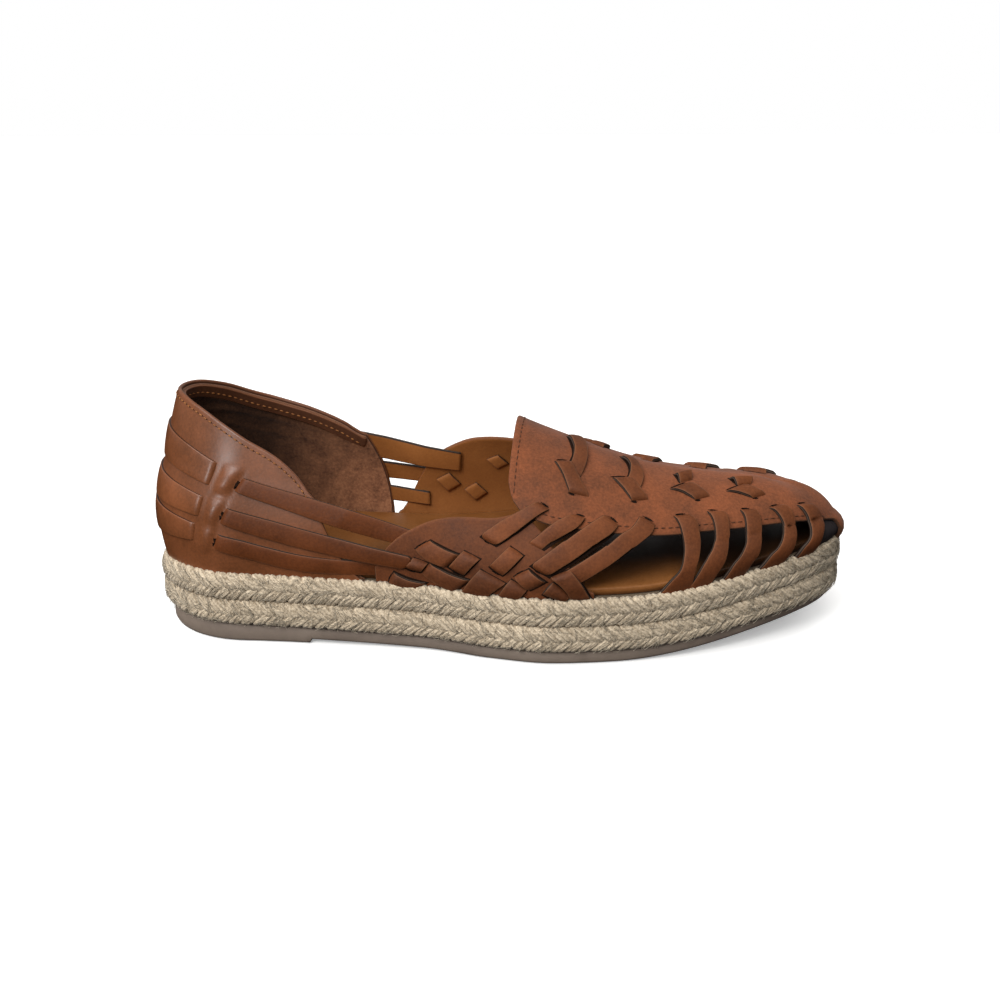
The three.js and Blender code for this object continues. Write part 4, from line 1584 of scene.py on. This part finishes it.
                # Painted shadow: dark sheets beside each square, and the cut with painted shade at its end
                if (one, two) in self.rising:
                    strip.gap(self.outer_lift, 0, 0.4).add_to(slits)
                    strip.slit(-1, self.outer_lift, width=0.5).add_to(slits)
                else:
                    strip.gap(self.outer_lift, 0.6, 0).add_to(slits)
                    strip.slit(0, self.outer_lift, width=0.3).add_to(slits)
            for middle, high in self.inside_squares if side is Side.INNER else ():
                one = ((middle - 4.4, high + 0.01), (middle + 0.3, high - 0.046))
                two = ((middle + 0.3, high + 0.05), (middle + 5, high - 0.004))
                size = (self.inside_lift,), self.inside_thickness
                Strip(one, two, *size, side, dips=(-0.5, -0.5), cut=0.5, tone=0.8).add_to(squares)
        strap = STRAP.make()
        finish_piece(panels.build(strap), Finish.UPPER, "upper")
        finish_piece(straps.build(strap), Finish.UPPER, "upper")
        finish_piece(squares.build(WEAVE.make()), Finish.UPPER, "upper")
        finish_piece(slits.build(CUT_AND_SHADE.make()), Finish.UPPER, "upper")


@dataclass
class HeelCounter:
    """The closed back of the shoe: a glossy cup, bands round it, straps forward and a suede lining."""

    wall: float = 1.6
    lining: float = -0.7
    seat: float = 0.35
    band_thickness: float = 1.2
    strap_thickness: float = 1.5
    # Share of the height and depth of each fold in the lining
    folds: Rows = ((0.9, 0.9), (0.8, 1.1), (0.7, 0.7))
    fold_width: float = 0.022
    fold_wander: float = 0.02
    fold_reach: float = 60.0
    binding: float = 0.05
    binding_thickness: float = 0.9
    # How far the cup reaches lower all round and at the very back, and the length of the latter
    skirt: tuple[float, float, float] = (0.008, 0.028, 7.0)
    hump: float = 1.2
    hump_length: float = 3.6
    hump_reach: float = 0.036
    crease: float = 0.45
    crease_width: float = 0.8
    band_crease: float = 1.2
    strap_crease: float = -0.6
    # Stations over which the lining's painted shade at the back fades to its lightest tone
    painted_light_from: float = 34.0
    painted_light_to: float = 76.0
    # Station, and the rise of the collar on the outer and the inner side
    collar_rows: Rows = (
        (0, 0.51, 0.51),
        (12, 0.485, 0.485),
        (26, 0.44, 0.446),
        (37, 0.4, 0.428),
        (48, 0.36, 0.41),
        (57, 0.31, 0.39),
        (64, 0.25, 0.37),
        (74, 0.2, 0.332),
    )
    # Stations of the cup's front edge at the collar and at the sole, and its curve
    outer_front: tuple[float, float, float] = (65, 84, 0.7)
    inner_front: tuple[float, float, float] = (74, 85.5, 2.4)
    # Station and rise of the upper end and of the lower end, and both rises at the back
    bands: Rows = (
        (27.8, 0.316, 26.4, 0.245, 0.39, 0.285),
        (25.2, 0.211, 24.3, 0.155, 0.247, 0.165),
        (22.8, 0.132, 22.2, 0.084, 0.155, 0.07),
    )
    outer_straps: tuple[Edges, ...] = (
        (
            (
                (37.9, 0.283), (48.9, 0.265), (60.1, 0.252), (75, 0.235),
                (86.1, 0.22), (93.4, 0.208), (105, 0.188),
            ),
            (
                (35.6, 0.242), (42.5, 0.226), (50, 0.212), (61.1, 0.192),
                (70.3, 0.176), (84.9, 0.153), (99, 0.134),
            ),
        ),
        (
            (
                (33.7, 0.191), (43.4, 0.176), (54.3, 0.161), (65.3, 0.147),
                (76.1, 0.134), (86.9, 0.121), (102.4, 0.105),
            ),
            (
                (31.6, 0.147), (40.2, 0.128), (51, 0.108), (61.7, 0.092),
                (68.9, 0.084), (76.1, 0.075), (86.8, 0.066), (99.5, 0.057),
            ),
        ),
        (
            (
                (31, 0.113), (40.2, 0.101), (47.3, 0.089), (58, 0.074),
                (65.2, 0.068), (72.4, 0.066), (79.7, 0.066), (92, 0.06),
            ),
            (
                (29.1, 0.071), (36.2, 0.057), (43.3, 0.046), (50.3, 0.033),
                (57.5, 0.022), (64.7, 0.016), (75.6, 0.016), (92, 0.016),
            ),
        ),
    )
    inner_straps: tuple[Edges, ...] = (
        (
            ((35, 0.325), (72, 0.336), (100, 0.34), (112, 0.34)),
            ((35, 0.225), (72, 0.236), (100, 0.24), (112, 0.242)),
        ),
        (((30.5, 0.21), (66, 0.216), (103, 0.216)), ((30.5, 0.143), (66, 0.15), (103, 0.15))),
        (((27, 0.12), (62, 0.124), (101, 0.12)), ((27, 0.062), (62, 0.066), (101, 0.062))),
    )
    inner_lifts: Rows = (
        (1.3, 1.2, 1.1, 0.2, -1.8, -1.9),
        (1.3, 1.2, 1.1, 1.0, 1.2, 1.0),
        (1.3, 1.2, 1.1, 1.0, 0.3, -2.0),
    )
    strap_lifts: Rows = (
        (1.3, 1.2, 1.2, 1.0, -0.6, -1.6),
        (1.3, 1.2, 1.1, 1.0, 1.2, 1.0),
        (1.3, 1.1, 1.0, 0.6, 0.2, -1.6),
    )

    def grid(self, along: int, across: Array) -> tuple[Array, Array]:
        """Grid of angles and rises over the counter.

        Args:
            along: number of columns round the heel.
            across: shares from the sole to the collar.

        Returns:
            Angles and rises.
        """
        turn = 1 - 2 * edge_spaced(along, 0.004)
        collars = [SmoothColumn(self.collar_rows, c) for c in (1, 2)]
        angle, rise = [], []
        for share in turn:
            front, collar = (self.outer_front, collars[0]) if share >= 0 else (self.inner_front, collars[1])
            top, foot, curve = front
            angle.append(share * LAST.angle(foot + (top - foot) * across**curve))
            rise.append(across * collar(LAST.station(share * LAST.angle(top))))
        return np.array(angle), np.array(rise)

    def build(self) -> None:
        """Build and dress the cup, the lining, the bands, the straps and the collar stitches."""
        waxed, strap = WAXED.make(), HEEL_STRAP.make()
        self.cup(waxed)
        bands, straps, slits = Maker("heel_bands"), Maker("heel_straps"), Maker("heel_slits")
        on = self.wall - self.seat
        turn = np.linspace(1, -1, 11)
        for top_at, top, low_at, low, back_top, back_low in self.bands:
            edges = []
            for at, end, back in ((top_at, top, back_top), (low_at, low, back_low)):
                edges.append(as_rows(turn * LAST.angle(at), back + (end - back) * turn**2))
            Strip(*edges, (on,), self.band_thickness, dips=(0.6, 0.6), cut=0.5).add_to(bands)
        outer = (Side.OUTER, self.outer_straps, self.strap_lifts)
        inner = (Side.INNER, self.inner_straps, self.inner_lifts)
        for side, rows, heights in (outer, inner):
            for (one, two), lifts in zip(rows, heights):
                rounded = (0, 2.2) if lifts[-1] > 0 else (0, 0)
                strip = Strip(one, two, lifts, self.strap_thickness, side, (0.8, 0.0), rounded)
                strip.add_to(straps)
                # The slit is a dark sheet: the cut with painted shade in it
                strip.slit(0, self.wall + 0.15, reach=0.4, width=0.65).add_to(slits)
        finish_piece(bands.build(waxed), Finish.UPPER, "upper")
        finish_piece(straps.build(strap), Finish.UPPER, "upper")
        finish_piece(slits.build(CUT_AND_SHADE.make()), Finish.UPPER, "upper")
        self.bind(waxed)
        self.stitch()

    def stitch(self) -> None:
        """Stitch the collar outside, over a row of dark beads that paint the shade of a groove, and inside
        through the lining.
        """
        angle, rise = (part[3:-3, 1] for part in self.grid(161, np.array([0.0, 1.0])))
        outside, inside = rise - 0.016, rise - 0.036
        lines = [(angle, outside, self.wall + 0.12), (angle, inside, self.lining - 0.85)]
        StitchRow(pitch=2.3, length=1.6).lay("collar_stitches", lines, THREAD.make())
        # Painted shade: dark beads under the outside stitches stand for the shade in their groove
        groove = [(angle, outside, self.wall - 0.02)]
        StitchRow(pitch=2.3, length=2.5, thickness=0.5).lay("collar_groove", groove, CUT_AND_SHADE.make())

    def bind(self, waxed: bpy.types.Material) -> None:
        """Build and dress the turned-in rim of the collar inside the cup.

        Args:
            waxed: finish of the rim.
        """
        angle, rise = self.grid(31, np.array([0.0, 1.0]))
        at = np.sign(angle[:, 1]) * np.maximum(LAST.station(angle[:, 1]), 0.01)
        top = rise[:, 1] - 0.006
        narrow = np.clip(12 * (1 - np.abs(np.linspace(-1, 1, len(top)))), 0.25, 1)
        edges = [tuple(zip(at.tolist(), high.tolist())) for high in (top, top - self.binding * narrow)]
        rim = Maker("collar_binding")
        Strip(*edges, (self.lining - 0.8,), self.binding_thickness, cut=0.3).add_to(rim)
        finish_piece(rim.build(waxed), Finish.UPPER, "upper")

    def cup(self, waxed: bpy.types.Material) -> None:
        """Build and dress the cup, humped and creased where the straps run behind it, and its lining.

        Args:
            waxed: finish of the cup.
        """
        angle, rise = self.grid(221, edge_spaced(40, 0.01))
        at = LAST.station(angle)
        hump = np.zeros_like(rise)
        for (top_at, top, low_at, low, *_), (one, two) in zip(self.bands, self.outer_straps):
            (one_at, one_rise), (two_at, two_rise) = one[0], two[0]
            share = (rise - two_rise) / (one_rise - two_rise)
            band_end = low_at + (top_at - low_at) * share
            strap_end = two_at + (one_at - two_at) * share
            off_middle = rise - (top + low + one_rise + two_rise) / 4
            near = np.exp(-((off_middle / self.hump_reach) ** 4))
            off_hump = at - (band_end + strap_end) / 2
            hump += self.hump * np.exp(-((off_hump / self.hump_length) ** 2)) * near
            for crease_at in (band_end + self.band_crease, strap_end + self.strap_crease):
                hump -= self.crease * np.exp(-(((at - crease_at) / self.crease_width) ** 2)) * near
        skirt, back_skirt, back_length = self.skirt
        low_share = 1 - rise / rise[:, -1:]
        rise = rise - low_share * (skirt + back_skirt * np.exp(-((at / back_length) ** 2)))
        cup = Maker("heel_counter")
        add_sheet(cup, angle, rise, self.wall + hump, 0.1, cut=(0.2, 0.03, 0.3, 0.3))
        finish_piece(cup.build(waxed), Finish.UPPER, "upper")
        self.line()

    def line(self) -> None:
        """Build and dress the lining, folded across the back, with painted shade toward the back and the
        collar.
        """
        lining = Maker("heel_lining")
        across = edge_spaced(56, 0.01)
        angle, rise = self.grid(121, across)
        at = LAST.station(angle)
        back = np.clip(1 - at / self.fold_reach, 0, 1)
        fold = np.zeros_like(rise)
        for where, depth in self.folds:
            wander = where + self.fold_wander * np.sin(5 * angle + 30 * where)
            fold += depth * back * np.exp(-(((across - wander) / self.fold_width) ** 2))
        # Painted shade: the tone is darkest at the back and under the collar, lightest low at the front
        forward = np.clip((at - self.painted_light_from) / (self.painted_light_to - self.painted_light_from), 0, 1)
        light = forward * np.clip(1.45 - 0.9 * across, 0, 1)
        angle, rise, inner = angle * 0.997, rise * 0.985, self.lining - fold
        add_sheet(lining, angle, rise, 0.1, inner, cut=(0, 0.2, 0.3, 0.3), tone=light)
        finish_piece(lining.build(SUEDE.make()), Finish.UPPER, "upper")


@dataclass(frozen=True)
class YarnHalf:
    """How the yarns of one slanting half of a jute row run round its side, in degrees from level.

    Where the two halves meet, the yarns dive under one another from dive_from to dive_to.
    """

    slant: int
    first: float
    last: float
    dive_from: float
    dive_to: float
    dive_depth: float
    fatness: float
    offset: float


@dataclass
class Platform:
    """Two rows of plaited jute stacked under the footbed."""

    pitch: float = 2.3
    pitch_noise: float = 0.1
    pair_shift: float = 0.3
    radius: float = 1.4
    radius_noise: float = 0.05
    depth: float = 1.3
    fullness: float = 0.7
    lean: float = 5.0
    sides: int = 8
    stops: int = 9
    floor_reach: float = 2.1
    reach: float = 1.3
    end_width: float = 0.55
    lower_half: YarnHalf = YarnHalf(-1, -100, 14, -25, 14, 1.5, 1.0, 0.0)
    upper_half: YarnHalf = YarnHalf(1, -10, 100, 8, -22, 0.7, 1.14, 0.5)
    core_edge: float = 0.3
    core_round: float = 2.2
    core_insets: tuple[float, float] = (4.2, 2.6)
    fibre_count: int = 2600
    fibre_sides: int = 3
    fibre_stops: int = 4
    fibre_length: tuple[float, float] = (2.5, 6.5)
    fibre_turn: tuple[float, float] = (-75, 80)
    fibre_slope: tuple[float, float] = (0.7, 0.5)
    fibre_bow: float = 0.3
    fibre_sink: float = 0.35
    fibre_spread: float = 0.42
    fibre_radius: float = 0.09
    sag: float = 3.5
    sag_length: float = 7.0

    def yarns(self, row: int) -> LineMaker:
        """Centre lines of the yarns of one row, in two slanting halves.

        Args:
            row: 0 for the lower row and 1 for the upper one.

        Returns:
            The lines, with thickness and tone.
        """
        lines = LineMaker(("jute_lower", "jute_upper")[row])
        random = np.random.default_rng(SEED + row)
        fine = np.linspace(0, 2 * np.pi, 2881)
        edge = LAST.outline(fine, self.radius)
        far = np.concatenate([[0], np.cumsum(np.linalg.norm(np.diff(edge, axis=0), axis=1))])
        count = int(far[-1] / self.pitch / 2) * 2
        pitch = far[-1] / count
        thick = LAST.braid_height
        stop = np.arange(self.stops)
        taper = np.clip(np.minimum(stop, stop[::-1]) * 0.5 + self.end_width, 0, 1)
        for half in (self.lower_half, self.upper_half):
            turn = np.radians(np.linspace(half.first, half.last, self.stops))
            start, span = math.radians(half.dive_from), math.radians(half.dive_to - half.dive_from)
            dive = half.dive_depth * np.clip((turn - start) / span, 0, 1) ** 2
            bow = self.depth * (1 - np.clip(np.cos(turn), 0, 1) ** self.fullness)
            on_floor = row == 0 and half is self.lower_half
            for yarn in range(count):
                shift = self.pair_shift * (-1) ** yarn + random.normal(0, self.pitch_noise)
                middle = (yarn + half.offset) * pitch + shift
                size = self.radius * (1 + random.normal(0, self.radius_noise)) * half.fatness
                run = middle - half.slant * self.lean * np.sin(turn)
                plan = LAST.outline(np.interp(run % far[-1], far, fine), bow + size + dive)
                reach = 1 - (self.floor_reach if on_floor else self.reach) * size / thick
                up = row * thick + thick * (0.5 + 0.5 * np.sin(turn) * reach)
                high = LAST.jute_bottom(plan[:, 0]) + up - self.back_sag(plan[:, 0]) * up / thick / 2
                lines.add(
                    np.concatenate([plan, high[:, None]], 1),
                    thick=size * MILLIMETRE * taper,
                    tone=np.full(self.stops, random.random()),
                )
        return lines

    def back_sag(self, at: Array) -> Array:
        """How far the counter presses the stack down round the back of the heel."""
        return self.sag * np.exp(-((at / self.sag_length) ** 2))

    def fibres(self) -> LineMaker:
        """Loose fibre ends that lie over both rows.

        Returns:
            The lines, with thickness and tone.
        """
        lines = LineMaker("jute_fibres")
        random = np.random.default_rng(SEED)
        share = np.linspace(-0.5, 0.5, self.fibre_stops)
        for _ in range(self.fibre_count):
            angle = random.uniform(-math.pi, math.pi)
            turn = math.radians(random.uniform(*self.fibre_turn))
            length = random.uniform(*self.fibre_length)
            slope = random.normal(*self.fibre_slope) * -np.sign(turn)
            row = random.integers(0, 2)
            per_angle = LAST.length / 2 * max(0.3, abs(math.sin(angle)))
            around = angle + length * math.cos(slope) * share / per_angle
            bow = self.fibre_bow * (2 * share) ** 2 - random.uniform(0, self.fibre_sink)
            plan = LAST.outline(around, self.depth * (1 - math.cos(turn) ** self.fullness) + bow)
            middle = LAST.braid_height * (row + 0.5 + self.fibre_spread * math.sin(turn))
            rise = middle + length * math.sin(slope) * share
            rise = np.clip(rise, 0.3, 2 * LAST.braid_height - 0.2)
            rise *= 1 - self.back_sag(plan[:, 0]) / LAST.braid_height / 2
            lines.add(
                np.concatenate([plan, (LAST.jute_bottom(plan[:, 0]) + rise)[:, None]], 1),
                thick=np.full(self.fibre_stops, self.fibre_radius * MILLIMETRE),
                tone=np.full(self.fibre_stops, random.random()),
            )
        return lines

    def build(self) -> None:
        """Build and dress the yarns and the cores of both rows, and the loose fibres."""
        # The cores are painted dark as the shade between the yarns
        material, dark, tree = JUTE.make(), JUTE_CORE_SHADE.make(), yarn_tree()
        stations = LAST.station(np.linspace(0, math.pi, 121))
        for row, node in enumerate(("jute_braid_lower", "jute_braid_upper")):
            piece = self.yarns(row).grow(tree, {"Sides": self.sides, "Material": material})
            finish_piece(piece, Finish.JUTE, node)
            core = Maker(piece.name + "_core")
            base, top = row * LAST.braid_height, (row + 1) * LAST.braid_height - self.core_edge
            far_in, near = self.core_insets
            loops = [
                (far_in, partial(raised, LAST.jute_bottom, base + self.core_edge)),
                (near, partial(raised, LAST.jute_bottom, base + self.core_round)),
                (near, partial(raised, LAST.jute_bottom, top - self.core_round)),
                (far_in, partial(raised, LAST.jute_bottom, top)),
            ]
            add_slab(core, loops, stations)
            finish_piece(core.build(dark), Finish.JUTE, node)
        loose = self.fibres().grow(tree, {"Sides": self.fibre_sides, "Material": JUTE_FIBRE.make()})
        finish_piece(loose, Finish.JUTE)


@dataclass
class Bottom:
    """The rubber outsole under the jute and the footbed over it."""

    breast: float = 63.0
    breast_slope: float = 0.8
    inset: float = 2.8
    edge_round: float = 1.2
    footbed_inset: float = 5.0
    footbed_thickness: float = 2.6
    # Stations where the painted shade starts or has its middle, its length and its depth
    toe_painted_shade: tuple[float, float, float] = (196, 18, 0.9)
    strap_painted_shade: tuple[float, float, float] = (94, 13, 0.7)
    inner_painted_shade: tuple[float, float, float] = (138, 30, 2.9)

    def painted_footbed_shade(self, angle: Array) -> Array:
        """Lightness of the footbed, with painted shade toward the toe, beside the straps and on the inner
        side.

        Args:
            angle: signed angles round the sole.

        Returns:
            One value for each angle, below 0 where the painted shade runs far in from the rim.
        """
        at = LAST.station(angle)
        start, length, depth = self.toe_painted_shade
        outer = 1 - depth * np.clip((at - start) / length, 0, 1)
        middle, length, depth = self.strap_painted_shade
        outer -= depth * np.exp(-(((at - middle) / length) ** 4))
        start, length, depth = self.inner_painted_shade
        inner = 1 - depth * np.clip((at - start) / length, 0, 1)
        return np.where(np.sin(angle) >= 0, outer, inner)

    def top(self, at: Array) -> Array:
        """Height of the outsole's upper face."""
        return LAST.jute_bottom(at) - LAST.seam

    def rounding(self, up: float, under: float, at: Array) -> Array:
        """Height on the rounded lower edge, kept under the upper face."""
        return np.minimum(self.top(at) - under, self.underside(at) + up)

    def underside(self, at: Array) -> Array:
        """Height of the outsole's underside.

        Args:
            at: stations.

        Returns:
            One height for each station.
        """
        toe = np.clip((at - LAST.toe_spring_from) / (LAST.length - LAST.toe_spring_from), 0, 1)
        thick = LAST.forefoot_outsole + (LAST.toe_outsole - LAST.forefoot_outsole) * toe
        return np.where(at <= self.breast + 1e-6, 0.0, LAST.jute_bottom(at) - thick)

    def build(self) -> None:
        """Build and dress the outsole and the footbed."""
        even = LAST.station(np.linspace(0, math.pi, 161))
        breast = np.array([self.breast, self.breast + self.breast_slope])
        clear = np.abs(even[:, None] - breast).min(1) > 0.6
        stations = np.sort(np.concatenate([even[clear], breast]))
        inset, bevel = self.inset, 0.3 * self.edge_round
        loops = [
            (inset + self.edge_round, self.underside),
            (inset + bevel, partial(self.rounding, bevel, 0.6)),
            (inset, partial(self.rounding, self.edge_round, 0.5)),
            (inset, partial(raised, self.top, -0.3)),
            (inset + 0.3, self.top),
        ]
        sole = Maker("rubber_outsole")
        add_slab(sole, loops, stations)
        finish_piece(sole.build(SOLE_RUBBER.make()), Finish.OUTSOLE, "outsole")
        bed = Maker("footbed")
        loops = [(self.footbed_inset, LAST.wall_foot)]
        for inwards, down in ((0, 0.6), (0.2, 0.2), (0.8, 0)):
            height = partial(raised, LAST.wall_foot, self.footbed_thickness - down)
            loops.append((self.footbed_inset + inwards, height))
        # The tone carries the footbed's painted shade
        add_slab(bed, loops, even, self.painted_footbed_shade)
        finish_piece(bed.build(FOOTBED.make()), Finish.INSOLE, "insole")


@dataclass
class Studio:
    """Pale floor, soft light and the camera at the photograph's angle."""

    aim: Place = (131.1, 0.0, 45.4)
    azimuth: float = 3.0
    elevation: float = 20.0
    roll: float = -0.25
    distance: float = 418.0
    lens: float = 39.6
    floor_glow: float = 0.3
    floor_size: float = 6.0
    floor_drop: float = -0.0002

    def build(self) -> None:
        """Make the floor, the lights, the world and the camera."""
        self.camera()
        self.floor()
        self.light("key", place=(-0.35, -0.75, 0.7), size=0.3, power=3.0)
        self.light("window", place=(-0.6, -0.88, 0.2), size=0.16, power=2.3)
        self.sun("panel", place=(-0.3, -0.5, 0.81), spread=65, power=2.5)
        self.sun("ceiling", place=(0.0, 0.0, 1.0), spread=175, power=1.1)
        self.sun("back", place=(0.25, 0.9, 0.22), spread=60, power=1.25).visible_glossy = False
        self.world()
        bpy.context.scene.view_settings.view_transform = "Standard"

    def sun(self, name: str, place: Place, spread: float, power: float) -> bpy.types.Object:
        """Make a broad light that falls evenly on the whole floor.

        Args:
            name: name of the light.
            place: direction that it comes from.
            spread: angle that the light spans, in degrees.
            power: power in watts for each square metre.

        Returns:
            The light.
        """
        data = bpy.data.lights.new(name, "SUN")
        data.energy = power
        data.angle = math.radians(spread)
        return self.hang(data, place)

    def hang(self, data: bpy.types.Light, place: Place) -> bpy.types.Object:
        """Link a light that shines from a place toward the shoe.

        Args:
            data: the light's settings.
            place: place or direction that it shines from.

        Returns:
            The light.
        """
        lamp = bpy.data.objects.new(data.name, data)
        lamp.location = place
        lamp.rotation_mode = "QUATERNION"
        lamp.rotation_quaternion = (-Vector(place)).to_track_quat("-Z", "Y")
        bpy.context.scene.collection.objects.link(lamp)
        return lamp

    def world(self) -> None:
        """Make the white backdrop, which is seen but gives no light."""
        world = bpy.data.worlds.new("studio")
        world.use_nodes = True
        world.node_tree.nodes["Background"].inputs["Color"].default_value = (1, 1, 1, 1)
        bpy.context.scene.world = world
        world.cycles_visibility.diffuse = world.cycles_visibility.glossy = False

    def camera(self) -> None:
        """Make the camera."""
        turn, tilt = math.radians(self.azimuth), math.radians(self.elevation)
        back = Vector((math.sin(turn) * math.cos(tilt), -math.cos(turn) * math.cos(tilt), math.sin(tilt)))
        data = bpy.data.cameras.new("camera")
        data.lens = self.lens
        data.sensor_width = 36
        data.clip_start, data.clip_end = 0.01, 20
        camera = bpy.data.objects.new("camera", data)
        aim = Vector(LAST.to_frame(np.array(self.aim)))
        camera.location = aim + back * self.distance * MILLIMETRE
        camera.rotation_mode = "QUATERNION"
        level, roll = (-back).to_track_quat("-Z", "Y"), Matrix.Rotation(math.radians(self.roll), 3, "Z")
        camera.rotation_quaternion = level @ roll.to_quaternion()
        bpy.context.scene.collection.objects.link(camera)
        bpy.context.scene.camera = camera

    def floor(self) -> None:
        """Make the floor."""
        mesh = bpy.data.meshes.new("floor")
        turns = ((-1, -1), (1, -1), (1, 1), (-1, 1))
        corners = [(x * self.floor_size, y * self.floor_size, self.floor_drop) for x, y in turns]
        mesh.from_pydata(corners, [], [(0, 1, 2, 3)])
        material, _, shader = new_material("pale_floor")
        shader.inputs["Base Color"].default_value = linear("#fbfaf8")
        shader.inputs["Roughness"].default_value = 0.8
        shader.inputs["Emission Color"].default_value = (1, 1, 1, 1)
        shader.inputs["Emission Strength"].default_value = self.floor_glow
        mesh.materials.append(material)
        floor = bpy.data.objects.new("floor", mesh)
        floor.visible_diffuse = floor.visible_glossy = False
        bpy.context.scene.collection.objects.link(floor)

    def light(self, name: str, place: Place, size: float, power: float) -> bpy.types.Object:
        """Make one soft light aimed at the shoe.

        Args:
            name: name of the light.
            place: position in metres.
            size: side of the square light in metres.
            power: power in watts.

        Returns:
            The light.
        """
        data = bpy.data.lights.new(name, "AREA")
        data.size = size
        data.energy = power
        return self.hang(data, place)


def main() -> None:
    """Build every part of the shoe and the studio."""
    logging.basicConfig(level=logging.INFO, format="%(name)s %(message)s")
    for part in (Studio(), Bottom(), Platform(), HeelCounter(), Quarters(), Vamp()):
        LOG.info("building %s", type(part).__name__)
        part.build()


if __name__ == "__main__":
    main()
